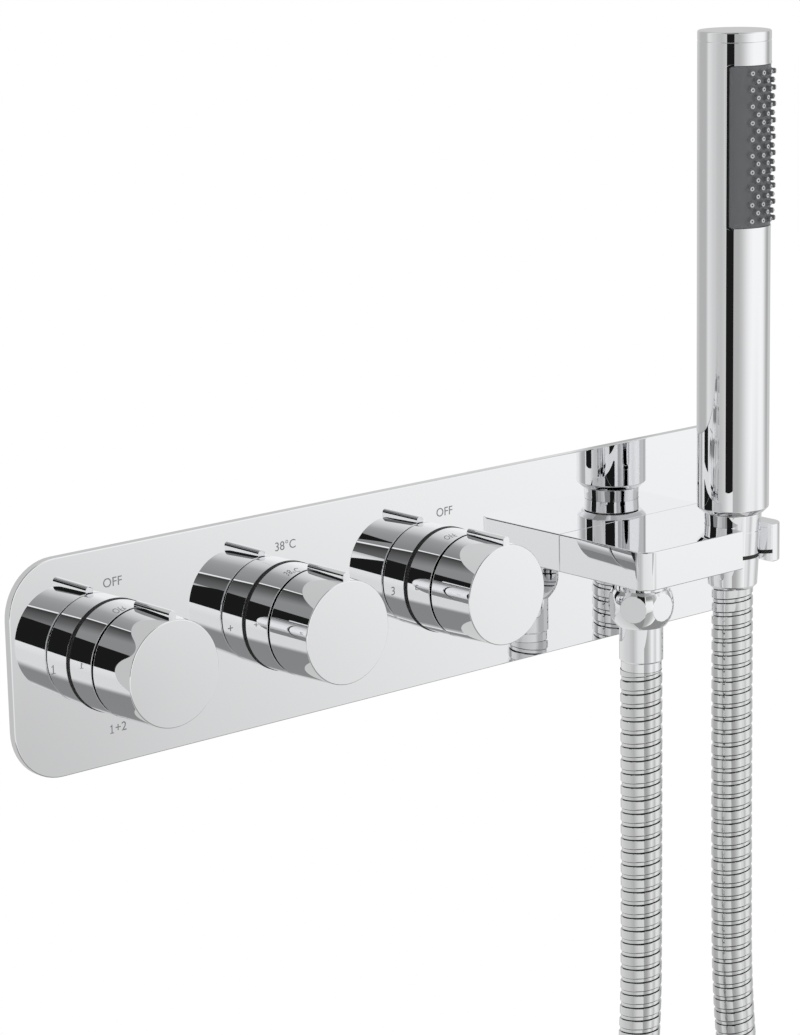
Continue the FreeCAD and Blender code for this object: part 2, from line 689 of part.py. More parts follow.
def make_thermostat():
    at = ("0", PLATE_FRONT, "0")
    floor = f"({THERMOSTAT_SEAT} + cartridge_base)"
    shuttle_low = f"({floor} + spring_length)"
    shuttle_high = f"({shuttle_low} + shuttle_length)"
    outer = "(shuttle_bore_radius - running_gap)"
    node(ring("thermostat_shuttle", "wax_radius", outer, shuttle_low, shuttle_high, at, OUT))
    wax_low = f"({shuttle_low} - wax_reach)"
    foot_low = f"({shuttle_high} + mixing_length + mixing_wall + free_gap)"
    wax_high = f"({foot_low} - shuttle_travel - free_gap)"
    node(ring("wax_element", "0", "wax_radius", wax_low, wax_high, at, OUT))
    spring_outer = "(shuttle_bore_radius - free_gap)"
    spring_inner = f"({spring_outer} - spring_wire)"
    node(ring("thermostat_spring", spring_inner, spring_outer, floor, shuttle_low, at, OUT))


# ---------------------------------------------------------------- knobs
def make_knob(name, x):
    at = (x, PLATE_FRONT, "0")
    hole = "(turret_radius + plate_hole_gap)"
    node(ring(f"{name}_trim_ring", hole, "trim_radius", "0", "trim_thickness", at, OUT))
    make_sleeve(name, at)
    make_handle(name, at)


def make_sleeve(name, at):
    thread = "(turret_radius + fixed_gap)"
    hollow = "(sleeve_front_radius - sleeve_wall)"
    inside_front = f"({SLEEVE_FRONT} - sleeve_wall)"
    outline = (
        (thread, "trim_thickness"),
        ("sleeve_back_radius", "trim_thickness"),
        ("sleeve_front_radius", SLEEVE_FRONT),
        ("sleeve_hole_radius", SLEEVE_FRONT),
        ("sleeve_hole_radius", inside_front),
        (hollow, inside_front),
        (hollow, "turret_front"),
        (thread, "turret_front"),
    )
    node(turned(f"{name}_sleeve", outline, at, OUT))


def make_handle(name, at):
    """The handle, its pointer tab and its grub screw, with the tab at the top."""
    hollow_front = f"({HANDLE_BACK} + hollow_depth)"
    wall = "(handle_back_radius - handle_wall)"
    bore = "(spindle_radius + fixed_gap)"
    outline = (
        (bore, HANDLE_BACK),
        ("handle_boss_radius", HANDLE_BACK),
        ("handle_boss_radius", hollow_front),
        (wall, hollow_front),
        (wall, HANDLE_BACK),
        ("handle_back_radius", HANDLE_BACK),
        ("handle_front_radius", HANDLE_FRONT),
        ("0", HANDLE_FRONT),
        ("0", f"({SPINDLE_END} + fixed_gap)"),
        (bore, f"({SPINDLE_END} + fixed_gap)"),
    )
    blank = turned(f"{name}_handle_blank", outline, at, OUT)
    rounded(blank, "handle_edge", at_level(HANDLE_FRONT))
    x, y, _ = at
    slot = block(
        f"{name}_slot",
        ("(tab_width + 2 * fixed_gap)", "handle_length", "tab_top"),
        (f"({x} - tab_width / 2 - fixed_gap)", f"({y} - {HANDLE_FRONT})", "(tab_seat - fixed_gap)"),
    )
    screw_y = f"({y} - {HANDLE_FRONT} + grub_offset)"
    screw_hole = bar(
        f"{name}_screw_hole", "(grub_radius + fixed_gap)", "handle_back_radius", (x, screw_y, "0"), DOWN
    )
    node(cut(f"{name}_handle", blank, slot, screw_hole))
    make_tab(name, x, y)
    screw_top = "(-spindle_radius - fixed_gap)"
    screw = bar(f"{name}_screw_blank", "grub_radius", "grub_length", (x, screw_y, screw_top), DOWN)
    key_depth = "(grub_length / 3)"
    key_at = (x, screw_y, f"({screw_top} - grub_length + {key_depth})")
    key = hexagon(f"{name}_screw_key", "grub_key", key_depth, key_at, DOWN)
    node(cut(f"{name}_grub_screw", screw, key))


def make_tab(name, x, y):
    half = "(tab_width / 2)"
    outline = ((f"-{half}", "tab_seat"), (half, "tab_seat"), (half, "tab_top"), (f"-{half}", "tab_top"))
    tab = pressed(f"{name}_tab", "handle_length", (x, f"({y} - {HANDLE_BACK})", "0"), OUT, outline)
    top = number("tab_top")
    rounded(tab, "(tab_width * 0.47)", lambda edge: along_z(edge) and edge.BoundBox.YMin > top - 0.01)
    node(tab)


def make_stop_ring():
    low = "(turret_front + nut_head_height)"
    high = f"({low} + stop_ring_height)"
    at = ("0", PLATE_FRONT, "0")
    node(ring("temperature_stop_ring", "nut_bore_radius", "stop_ring_radius", low, high, at, OUT))


# ---------------------------------------------------------------- shelf
def make_feed():
    back = "(feed_boss_front - feed_depth - mount_depth)"
    front = "feed_insertion"
    at = (OUTLET_X, PLATE_FRONT, "0")
    groove = "(feed_radius - seal_depth)"
    low, high = f"({back} + seal_inset)", f"({front} - seal_inset - seal_width)"
    outline = [("feed_bore_radius", back), ("feed_radius", back)]
    for start in (low, high):
        end = f"({start} + seal_width)"
        outline += [("feed_radius", start), (groove, start), (groove, end), ("feed_radius", end)]
    outline += [("feed_radius", front), ("feed_bore_radius", front)]
    node(turned("feed_nipple", outline, at, OUT))
    rings = [
        ring(f"feed_seal_{i}", groove, "feed_radius", start, f"({start} + seal_width)", at, OUT)
        for i, start in enumerate((low, high))
    ]
    seals = doc.addObject("Part::Compound", "feed_seals")
    seals.Links = rings
    node(seals)


def make_shelf():
    """The outlet shelf: waterway, nipple socket, screw holes and the handset's holder."""
    right = f"({SHELF_LEFT} + shelf_length)"
    front = f"({PLATE_FRONT} - shelf_depth)"
    left_lip = f"({HOLDER_X} - mouth_width / 2)"
    right_lip = f"({HOLDER_X} + mouth_width / 2)"
    outline = (
        (SHELF_LEFT, PLATE_FRONT),
        (SHELF_LEFT, front),
        (left_lip, front),
        (left_lip, HOLDER_Y),
        (right_lip, HOLDER_Y),
        (right_lip, front),
        (right, front),
        (right, PLATE_FRONT),
    )
    slab = pressed("shelf_slab", "shelf_height", ("0", "0", f"(-{SHELF_HALF})"), UP, outline)
    ends = (number(SHELF_LEFT), number(right))
    front_y = number(front)

    def is_front_corner(edge):
        box = edge.BoundBox
        on_end = min(abs(box.XMin - end) for end in ends) < 0.01
        return along_z(edge) and on_end and abs(box.YMin - front_y) < 0.01

    rounded(slab, "shelf_corner", is_front_corner)

    def is_rim(edge):
        """The outline's edges above and below, but for those on the plate and in the slot."""
        box = edge.BoundBox
        flat = box.ZLength < 1e-4
        on_plate = box.YMin > number(PLATE_FRONT) - 0.01
        in_slot = box.XMin > number(left_lip) - 0.01 and box.XMax < number(right_lip) + 0.01
        return flat and not on_plate and not in_slot

    rounded(slab, "shelf_edge", is_rim)
    half = SHELF_HALF
    top_radius = f"(cone_top_radius - (cone_top - {half}) * {CONE_TAPER} + running_gap)"
    low_radius = f"(cone_top_radius - (cone_top + {half}) * {CONE_TAPER} + running_gap)"
    outline = (("0", f"(-{half})"), (low_radius, f"(-{half})"), (top_radius, half), ("0", half))
    seat = turned("holder_seat", outline, (HOLDER_X, HOLDER_Y, "0"))
    feed = (OUTLET_X, PLATE_FRONT, "0")
    under = (OUTLET_X, OUTLET_Y, f"(-{half})")
    nipple_radius = "(nipple_root_radius + fixed_gap)"
    tools = [
        seat,
        bar("shelf_socket", "(feed_radius + fixed_gap)", "(feed_insertion + fixed_gap)", feed, OUT),
        bar("shelf_waterway", "shelf_waterway", "outlet_out", feed, OUT),
        bar("nipple_socket", nipple_radius, "(nipple_root_height + fixed_gap)", under),
    ]
    screw_radius = "(shelf_screw_radius + fixed_gap)"
    depth = "(shelf_screw_depth + fixed_gap)"
    for i, x in enumerate(screw_places()):
        tools.append(bar(f"shelf_screw_hole_{i}", screw_radius, depth, (x, PLATE_FRONT, "0"), OUT))
    node(cut("outlet_shelf", slab, *tools))
    make_shelf_screws()


def make_shelf_screws():
    screws = []
    head_back = "(-plate_thickness - shelf_screw_cap)"
    for i, x in enumerate(screw_places()):
        outline = (
            ("0", head_back),
            ("shelf_screw_head", head_back),
            ("shelf_screw_head", "-plate_thickness"),
            ("shelf_screw_radius", "-plate_thickness"),
            ("shelf_screw_radius", "shelf_screw_depth"),
            ("0", "shelf_screw_depth"),
        )
        blank = turned(f"shelf_screw_blank_{i}", outline, (x, PLATE_FRONT, "0"), OUT)
        key_at = (x, f"({PLATE_FRONT} + plate_thickness + shelf_screw_cap)", "0")
        key = hexagon(f"shelf_screw_key_{i}", "shelf_screw_key", "(shelf_screw_cap * 0.6)", key_at, OUT)
        screws.append(cut(f"shelf_screw_{i}", blank, key))
    group = doc.addObject("Part::Compound", "shelf_screws")
    group.Links = screws
    node(group)


# ---------------------------------------------------------------- hose fittings
def make_outlet():
    at = (OUTLET_X, OUTLET_Y, "0")
    shelf_under = f"(-{SHELF_HALF})"
    outline = (
        ("thread_bore", NIPPLE_END),
        ("thread_radius", NIPPLE_END),
        ("thread_radius", shelf_under),
        ("nipple_root_radius", shelf_under),
        ("nipple_root_radius", f"({shelf_under} + nipple_root_height)"),
        ("thread_bore", f"({shelf_under} + nipple_root_height)"),
    )
    node(turned("outlet_nipple", outline, at))
    node(ring("outlet_washer", "thread_bore", "hose_flange_radius", FERRULE_TOP, NIPPLE_END, at))
    make_hose_nut(at)
    flange_low = f"({FERRULE_TOP} - hose_flange_height)"
    end = f"({NUT_BOTTOM} - ferrule_length)"
    outline = (
        ("hose_bore_radius", HOSE_START),
        ("collar_radius", HOSE_START),
        ("collar_radius", end),
        ("(ferrule_radius - ferrule_chamfer)", end),
        ("ferrule_radius", f"({end} + ferrule_chamfer)"),
        ("ferrule_radius", flange_low),
        ("hose_flange_radius", flange_low),
        ("hose_flange_radius", FERRULE_TOP),
        ("hose_bore_radius", FERRULE_TOP),
    )
    node(turned("hose_ferrule", outline, at))


def make_hose_nut(at):
    """A ball with six flats, bored for the thread above and for the ferrule below."""
    ball = doc.addObject("Part::Sphere", "hose_nut_ball")
    bind(ball, "Radius", "ball_radius")
    place(ball, (at[0], at[1], BALL_CENTRE))
    corner = "(ball_apothem / cos(30 deg))"
    flats = hexagon("hose_nut_flats", corner, "(ball_bottom + ball_top)", (at[0], at[1], NUT_BOTTOM))
    blank = doc.addObject("Part::Common", "hose_nut_blank")
    blank.Base = ball
    blank.Tool = flats
    flange_low = f"({FERRULE_TOP} - hose_flange_height)"
    height = f"({BALL_CENTRE} + ball_top - {flange_low})"
    thread = bar("hose_nut_thread", "(thread_radius + fixed_gap)", height, (at[0], at[1], flange_low))
    hole = bar(
        "hose_nut_hole",
        "(ferrule_radius + fixed_gap)",
        "(ball_bottom + ball_top)",
        (at[0], at[1], NUT_BOTTOM),
    )
    node(cut("hose_nut", blank, thread, hole))


def cone_radius(height):
    """The conical nut's outer radius at a height above the shelf's mid-height."""
    return f"(cone_top_radius - (cone_top - ({height})) * {CONE_TAPER})"


def make_conical_nut():
    at = (HOLDER_X, HOLDER_Y, "0")
    thread = "(thread_radius + running_gap)"
    bush_hole = "(bush_radius + fixed_gap)"
    flange_low = "(-hose_flange_height)"
    edge = f"({CONE_BOTTOM} + cone_chamfer)"
    band_high = "(-cone_band_level)"
    band_low = f"({band_high} - cone_band_height)"
    band_root = f"({cone_radius(band_low)} - cone_band_depth)"
    outline = (
        (bush_hole, CONE_BOTTOM),
        ("(cone_bottom_radius - cone_chamfer)", CONE_BOTTOM),
        ("cone_bottom_radius", edge),
        (cone_radius(band_low), band_low),
        (band_root, band_low),
        (band_root, band_high),
        (cone_radius(band_high), band_high),
        ("cone_top_radius", "cone_top"),
        (thread, "cone_top"),
        (thread, flange_low),
        (bush_hole, flange_low),
    )
    node(turned("conical_nut", outline, at))
    band = (
        (band_root, band_low),
        (cone_radius(band_low), band_low),
        (cone_radius(band_high), band_high),
        (band_root, band_high),
    )
    node(turned("conical_nut_band", band, at))
    outline = (
        ("hose_bore_radius", CONE_BOTTOM),
        ("bush_radius", CONE_BOTTOM),
        ("bush_radius", flange_low),
        ("hose_flange_radius", flange_low),
        ("hose_flange_radius", "0"),
        ("hose_bore_radius", "0"),
    )
    node(turned("hose_bush", outline, at))
    node(ring("handset_washer", "thread_bore", "hose_flange_radius", "0", "washer_height", at))


# ---------------------------------------------------------------- hose
# Points of the free hose, chosen by hand: (x, y, z) in millimetres. It leaves the
# ferrule straight down, hangs in one loop and comes up into the conical nut.
HOSE_ROUTE = (
    (153.1, -108.0, -43.7),
    (153.1, -108.0, -128.0),
    (151.9, -108.2, -218.0),
    (130.1, -108.3, -305.3),
    (86.2, -108.4, -402.0),
    (71.9, -108.5, -485.1),
    (83.9, -108.6, -529.7),
    (113.5, -108.7, -565.0),
    (155.3, -108.8, -584.5),
    (201.4, -109.0, -584.5),
    (243.2, -109.1, -565.0),
    (272.8, -109.2, -529.7),
    (284.8, -109.3, -485.1),
    (270.5, -109.4, -402.0),
    (226.6, -109.5, -305.3),
    (204.8, -109.6, -218.0),
    (203.6, -109.8, -118.0),
    (203.6, -109.8, -18.5),
)
LEG = 3  # points at each end that keep to the outlet's or the holder's axis
ARC_SHARE = 0.45  # share of the shorter run that an arc takes up at each of its ends
LONGEST_SMOOTH_STEP = 12.0  # between the bore's sections on an arc


def hose_points():
    """The route, moved with the ferrule at one end and with the conical nut at the other."""
    points = [Vector(*point) for point in HOSE_ROUTE]
    start = Vector(*[number(text) for text in (OUTLET_X, OUTLET_Y, HOSE_START)]) - points[0]
    end = Vector(*[number(text) for text in (HOLDER_X, HOLDER_Y, CONE_BOTTOM)]) - points[-1]
    last = len(points) - 1
    moved = []
    for index, point in enumerate(points):
        share = min(1, max(0, (index - LEG + 1) / (last - 2 * (LEG - 1))))
        moved.append(point + start * (1 - share) + end * share)
    return moved


def hose_centreline():
    """Straight runs joined by tangent arcs, as (kind, data, length) pieces."""
    points = hose_points()
    pieces = []
    radii = []
    start = points[0]
    for before, corner, after in zip(points, points[1:], points[2:]):
        into = (corner - before).normalize()
        out_of = (after - corner).normalize()
        turn = into.getAngle(out_of)
        reach = ARC_SHARE * min((corner - before).Length, (after - corner).Length)
        radius = reach / math.tan(turn / 2)
        radii.append(radius)
        arc_start = corner - into * reach
        pieces.append(("line", (start, into), (arc_start - start).Length))
        sideways = (out_of - into * into.dot(out_of)).normalize()
        centre = arc_start + sideways * radius
        pieces.append(("arc", (centre, arc_start - centre, into, radius), radius * turn))
        start = corner + out_of * reach
    last = points[-1] - start
    pieces.append(("line", (start, Vector(last).normalize()), last.Length))
    print("hose radii:", " ".join(f"{radius:.0f}" for radius in radii))
    return pieces


def hose_station(pieces, distance):
    """The point and direction at a distance along the centreline."""
    for kind, data, length in pieces:
        if distance <= length or (kind, data, length) == pieces[-1]:
            break
        distance -= length
    if kind == "line":
        start, along = data
        return start + along * distance, along
    centre, arm, into, radius = data
    angle = distance / radius
    outward = Vector(arm).normalize()
    point = centre + (outward * math.cos(angle) + into * math.sin(angle)) * radius
    return point, into * math.cos(angle) - outward * math.sin(angle)


def hose_circle(pieces, distance, radius):
    """A section circle whose X axis stays in one direction, square to the route's plane."""
    point, along = hose_station(pieces, distance)
    steady = Vector(0, 1, 0)
    steady = (steady - along * steady.dot(along)).normalize()
    frame = FreeCAD.Matrix()
    across = along.cross(steady)
    frame.A11, frame.A21, frame.A31 = steady
    frame.A12, frame.A22, frame.A32 = across
    frame.A13, frame.A23, frame.A33 = along
    frame.A14, frame.A24, frame.A34 = point
    edge = Part.Edge(Part.Circle(Vector(), Vector(0, 0, 1), radius))
    edge.Placement = FreeCAD.Placement(frame)
    return Part.Wire(edge)


def make_hose():
    """A ribbed metal hose with its bore: a ruled loft through four circles a rib."""
    pieces = hose_centreline()
    length = sum(piece[2] for piece in pieces)
    crest, root = number("hose_radius"), number("hose_root_radius")
    bore = number("hose_bore_radius")
    ribs = int(number("hose_rib_count"))
    plain = 2 * crest  # straight, unribbed ends, one hose diameter each
    pitch = (length - 2 * plain) / ribs
    stations = [(0.0, crest)]
    for rib in range(ribs):
        start = plain + rib * pitch
        stations += [
            (start, crest),
            (start + 0.12 * pitch, root),
            (start + 0.30 * pitch, root),
            (start + 0.42 * pitch, crest),
        ]
    stations.append((length, crest))
    outside = Part.makeLoft([hose_circle(pieces, *station) for station in stations], False, True)
    steps = max(2, round(length / LONGEST_SMOOTH_STEP))
    bore_circles = [hose_circle(pieces, length * i / steps, bore) for i in range(steps + 1)]
    inside = Part.makeLoft(bore_circles, False, True)
    ends = []
    for outer, inner in ((0.0, bore_circles[0]), (length, bore_circles[-1])):
        ends.append(Part.makeFace([hose_circle(pieces, outer, crest), inner], "Part::FaceMakerBullseye"))
    shell = Part.Shell(outside.Faces + inside.Faces + ends)
    hose = doc.addObject("Part::Feature", "shower_hose")
    solid = Part.Solid(shell)
    if solid.Volume < 0:
        solid.reverse()
    hose.Shape = solid
    node(hose)
    print(f"hose length {length:.0f}, rib pitch {pitch:.2f}, volume {solid.Volume:.0f}")


# ---------------------------------------------------------------- handset
def handset_rotation():
    """Turns the handset's own +X, where its spray points, to the front and a little right."""
    return Rotation(Vector(0, 0, 1), -90 + number("handset_turn"))


def make_handset():
    at = (HOLDER_X, HOLDER_Y, "0")
    make_handset_body(at)
    make_cap(at)
    make_spigot(at)
    make_spray(at)


def make_handset_body(at):
    floor = "(handset_bottom + handset_floor)"
    hole = "(thread_radius + fixed_gap)"
    outline = (
        (hole, "handset_bottom"),
        ("(handset_radius - handset_chamfer)", "handset_bottom"),
        ("handset_radius", "(handset_bottom + handset_chamfer)"),
        ("handset_radius", HANDSET_TOP),
        (HANDSET_INNER, HANDSET_TOP),
        (HANDSET_INNER, floor),
        (hole, floor),
    )
    tube = turned("handset_tube", outline, at)
    reach = "(handset_radius + 1)"
    low, high = f"({INSERT_LOW} - fixed_gap)", f"({INSERT_HIGH} + fixed_gap)"
    inner = f"({HANDSET_INNER} - 1)"
    outline = ((inner, low), (reach, low), (reach, high), (inner, high))
    window = turned("spray_window", outline, at, handset_rotation(), "(insert_span + 0.4)")
    node(cut("handset_body", tube, window))


def make_cap(at):
    outer = "(handset_radius - cap_line)"
    plug = f"({HANDSET_INNER} - fixed_gap)"
    top = f"({HANDSET_TOP} + cap_height)"
    outline = (
        ("0", f"({HANDSET_TOP} - cap_plug)"),
        (plug, f"({HANDSET_TOP} - cap_plug)"),
        (plug, HANDSET_TOP),
        (outer, HANDSET_TOP),
        (outer, f"({HANDSET_TOP} + cap_line)"),
        ("handset_radius", f"({HANDSET_TOP} + cap_line)"),
        ("handset_radius", top),
        ("0", top),
    )
    cap = turned("handset_cap", outline, at)
    node(rounded(cap, "cap_edge", at_level(top)))


def make_spigot(at):
    low = "(washer_height + fixed_gap)"
    floor = "(handset_bottom + handset_floor)"
    top = f"({floor} + spigot_flange)"
    outline = (
        ("thread_bore", low),
        ("thread_radius", low),
        ("thread_radius", floor),
        (f"({HANDSET_INNER} - fixed_gap)", floor),
        (f"({HANDSET_INNER} - fixed_gap)", top),
        ("thread_bore", top),
    )
    node(turned("handset_spigot", outline, at))
    start = f"({low} + 2)"
    restrictor_outer = "(thread_bore - fixed_gap)"
    node(
        ring(
            "flow_restrictor",
            "restrictor_bore",
            restrictor_outer,
            start,
            f"({start} + restrictor_height)",
            at,
        )
    )
    tube_top = f"({INSERT_LOW} - chamber_margin)"
    node(ring("water_tube", "tube_bore", "tube_radius", top, tube_top, at))


def make_spray(at):
    """The chamber behind the spray and the rubber insert with its nozzles."""
    low = f"({INSERT_LOW} - chamber_margin)"
    high = f"({INSERT_HIGH} + chamber_margin)"
    outer = f"({HANDSET_INNER} - fixed_gap)"
    seat = f"({INSERT_INNER} - fixed_gap)"
    outline = (
        ("tube_bore", low),
        (outer, low),
        (outer, f"({INSERT_LOW} - 1)"),
        (seat, f"({INSERT_LOW} - 1)"),
        (seat, f"({INSERT_HIGH} + 1)"),
        (outer, f"({INSERT_HIGH} + 1)"),
        (outer, high),
        ("0", high),
        ("0", f"({INSERT_HIGH})"),
        ("chamber_bore", INSERT_HIGH),
        ("chamber_bore", INSERT_LOW),
        ("tube_bore", INSERT_LOW),
    )
    node(turned("spray_chamber", outline, at))
    node(spray_insert(at))


def spray_insert(at):
    """A curved pad in its own frame, facing +X, with staggered columns of nozzles."""
    outer = number("handset_radius - insert_recess")
    inner = outer - number("insert_thickness")
    low, length = number(INSERT_LOW), number("insert_length")
    span = number("insert_span")
    pad = Part.makeCylinder(outer, length, Vector(0, 0, low), Vector(0, 0, 1), span)
    pad = pad.cut(Part.makeCylinder(inner, length, Vector(0, 0, low)))
    pad.rotate(Vector(), Vector(0, 0, 1), -span / 2)
    root = number("handset_radius - insert_thickness")
    height = number("nozzle_height") + number("insert_thickness")
    nozzle = Part.makeCone(number("nozzle_radius"), number("nozzle_tip_radius"), height)
    nozzle.rotate(Vector(), Vector(0, 1, 0), 90)
    columns, rows = int(number("nozzle_columns")), int(number("nozzle_rows"))
    pitch, angle = number("nozzle_pitch"), number("nozzle_angle")
    middle = low + length / 2
    nozzles = []
    for column in range(columns):
        in_column = rows - column % 2
        for row in range(in_column):
            copy = nozzle.copy()
            copy.translate(Vector(root, 0, middle + (row - (in_column - 1) / 2) * pitch))
            copy.rotate(Vector(), Vector(0, 0, 1), (column - (columns - 1) / 2) * angle)
            nozzles.append(copy)
    insert = doc.addObject("Part::Feature", "spray_insert")
    insert.Shape = pad.fuse(nozzles)
    insert.Placement = FreeCAD.Placement(Vector(*[number(text) for text in at]), handset_rotation())
    return insert


# ---------------------------------------------------------------- build and write
def main():
    make_wall_plate()
    make_gasket()
    make_valve_body()
    make_ports()
    make_check_valves()
    for name, x in KNOB_AXES:
        make_cartridge(name, x)
        make_knob(name, x)
        if name != "temperature":
            make_discs(name, x)
    make_thermostat()
    make_stop_ring()
    make_feed()
    make_shelf()
    make_outlet()
    make_conical_nut()
    make_handset()
    make_hose()
    doc.recompute()
    for thing in doc.Objects:
        if "Invalid" in thing.State or "Error" in thing.State:
            raise RuntimeError(f"{thing.Label} failed: {thing.State}")
    for label, thing in nodes.items():
        if thing.Shape.isNull() or not thing.Shape.isValid() or not thing.Shape.Solids:
            raise RuntimeError(f"{label} has no valid shape")
    os.makedirs("parts", exist_ok=True)
    for label, thing in nodes.items():
        thing.Shape.exportStep(f"parts/{label}.step")
    print(len(nodes), "sub-parts written")


main()
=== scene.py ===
"""Looks of a three-knob thermostatic shower valve with a shelf, a ribbed hose and a handset."""

import json
import math

import bmesh
import bpy
from bpy.props import FloatProperty, FloatVectorProperty, IntProperty, PointerProperty
from mathutils import Matrix, Vector

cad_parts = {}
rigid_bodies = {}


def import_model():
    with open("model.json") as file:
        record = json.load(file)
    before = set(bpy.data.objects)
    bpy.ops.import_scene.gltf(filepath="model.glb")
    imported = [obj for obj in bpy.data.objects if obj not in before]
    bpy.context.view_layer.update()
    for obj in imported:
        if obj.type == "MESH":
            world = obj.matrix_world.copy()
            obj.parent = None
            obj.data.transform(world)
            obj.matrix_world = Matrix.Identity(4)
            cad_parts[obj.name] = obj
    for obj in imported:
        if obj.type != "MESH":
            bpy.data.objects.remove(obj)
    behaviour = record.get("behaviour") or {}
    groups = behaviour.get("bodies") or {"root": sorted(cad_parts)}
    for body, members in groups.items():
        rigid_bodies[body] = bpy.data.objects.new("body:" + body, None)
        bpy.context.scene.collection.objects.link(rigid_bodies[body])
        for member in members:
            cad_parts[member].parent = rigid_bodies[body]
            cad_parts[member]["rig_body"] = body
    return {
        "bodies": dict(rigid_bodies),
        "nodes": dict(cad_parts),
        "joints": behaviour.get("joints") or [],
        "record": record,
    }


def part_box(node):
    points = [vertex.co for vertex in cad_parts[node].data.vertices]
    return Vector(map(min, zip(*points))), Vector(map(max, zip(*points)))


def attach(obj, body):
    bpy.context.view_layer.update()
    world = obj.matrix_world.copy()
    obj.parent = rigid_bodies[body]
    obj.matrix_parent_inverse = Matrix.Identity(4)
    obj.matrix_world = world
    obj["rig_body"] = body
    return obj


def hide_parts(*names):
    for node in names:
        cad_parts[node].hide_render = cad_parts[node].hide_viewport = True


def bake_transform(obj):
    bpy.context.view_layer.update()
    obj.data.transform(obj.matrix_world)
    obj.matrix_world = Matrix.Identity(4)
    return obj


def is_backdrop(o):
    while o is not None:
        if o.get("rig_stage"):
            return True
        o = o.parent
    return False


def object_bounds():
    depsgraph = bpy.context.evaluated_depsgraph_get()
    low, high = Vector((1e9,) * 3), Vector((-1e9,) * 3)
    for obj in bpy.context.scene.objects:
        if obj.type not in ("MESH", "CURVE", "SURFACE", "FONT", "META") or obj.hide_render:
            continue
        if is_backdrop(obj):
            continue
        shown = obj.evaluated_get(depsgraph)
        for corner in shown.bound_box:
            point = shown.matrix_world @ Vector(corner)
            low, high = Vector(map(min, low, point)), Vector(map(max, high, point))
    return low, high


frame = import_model()

bl_info = {
    "name": "Thermostatic Shower Valve",
    "version": (1, 0, 0),
    "blender": (4, 5, 0),
    "location": "View3D > Sidebar > Shower Valve",
    "description": "Builds the finish and fine pieces of a concealed shower valve",
    "category": "Object",
}

MM = 0.001
WELD = 1e-7  # points of a turned or cut shape closer than this are one
NEAR = 1e-5  # tolerance when edges are picked by where they lie
LONG = 0.01  # an edge longer than this runs the length of its piece
PAST = 0.001  # how far a cutter reaches past the face it cuts
KNOBS = ("diverter", "temperature", "handset_flow")
HOSE_EXIT = (0.1531, -0.1080, -0.0437)
HOSE_LINE = (
    HOSE_EXIT,
    (0.1531, -0.1080, -0.1280),
    (0.1519, -0.1082, -0.2180),
    (0.1301, -0.1083, -0.3053),
    (0.0862, -0.1084, -0.4020),
    (0.0719, -0.1085, -0.4851),
    (0.0839, -0.1086, -0.5297),
    (0.1135, -0.1087, -0.5650),
    (0.1553, -0.1088, -0.5845),
    (0.2014, -0.1090, -0.5845),
    (0.2432, -0.1091, -0.5650),
    (0.2728, -0.1092, -0.5297),
    (0.2848, -0.1093, -0.4851),
    (0.2705, -0.1094, -0.4020),
    (0.2266, -0.1095, -0.3053),
    (0.2048, -0.1096, -0.2180),
    (0.2036, -0.1098, -0.1180),
    (0.2036, -0.1098, -0.0185),
)


# ---------------------------------------------------------------- settings
def length(default, words):
    return FloatProperty(
        name=words, description=f"{words}, in metres", default=default * MM, unit="LENGTH", precision=5,
    )


def rotation(default, words, description):
    """An angle setting, from degrees."""
    return FloatProperty(name=words, description=description, default=math.radians(default), unit="ROTATION")


def colour(default, words):
    return FloatVectorProperty(
        name=words, description=f"Colour of the {words.lower()}", default=default,
        subtype="COLOR", size=3, min=0, max=1,
    )


class KnobSizes(bpy.types.PropertyGroup):
    trim_radius: length(20.85, "Trim ring radius")
    trim_thickness: length(1.0, "Trim ring thickness")
    sleeve_back_radius: length(20.65, "Sleeve radius at the plate")
    sleeve_front_radius: length(20.35, "Sleeve radius at the groove")
    sleeve_end: length(13.4, "Plate to the sleeve's front")
    handle_back_radius: length(20.3, "Handle radius at the groove")
    handle_front_radius: length(19.5, "Handle radius at its face")
    handle_start: length(14.4, "Plate to the handle's back")
    handle_end: length(35.2, "Plate to the handle's face")
    rim: length(0.45, "Rounding of the rims")
    tab_width: length(3.2, "Pointer tab width")
    tab_low: length(17.8, "Axis to the pointer tab's underside")
    tab_high: length(22.8, "Axis to the pointer tab's top")


class ShelfSizes(bpy.types.PropertyGroup):
    corner: length(6.0, "Shelf front corner radius")
    rim: length(0.5, "Rounding of the shelf's edges")
    joint: length(0.35, "Rounding where the shelf meets the plate")
    mouth: length(17.5, "Width of the holder's slot")
    seat_top: length(11.49, "Holder seat radius at the top")
    seat_bottom: length(10.6, "Holder seat radius at the bottom")


class FittingSizes(bpy.types.PropertyGroup):
    ball_radius: length(13.1, "Hose nut's ball radius")
    ball_flat: length(12.0, "Hose nut's axis to its flats")
    ferrule_radius: length(8.75, "Hose ferrule radius")
    collar_radius: length(8.15, "Collar radius")
    cone_top_radius: length(11.7, "Conical nut radius at its top")
    cone_bottom_radius: length(10.0, "Conical nut radius at its bottom")
    seam_level: length(5.5, "Shelf's middle to the conical nut's seam")


class HoseSizes(bpy.types.PropertyGroup):
    crest: length(8.4, "Hose radius over its ribs")
    root: length(7.9, "Hose radius between its ribs")
    rib_pitch: length(5.51, "Rib to rib")
    sides: IntProperty(name="Sides", description="Faces round the hose", default=32, min=12, max=64)


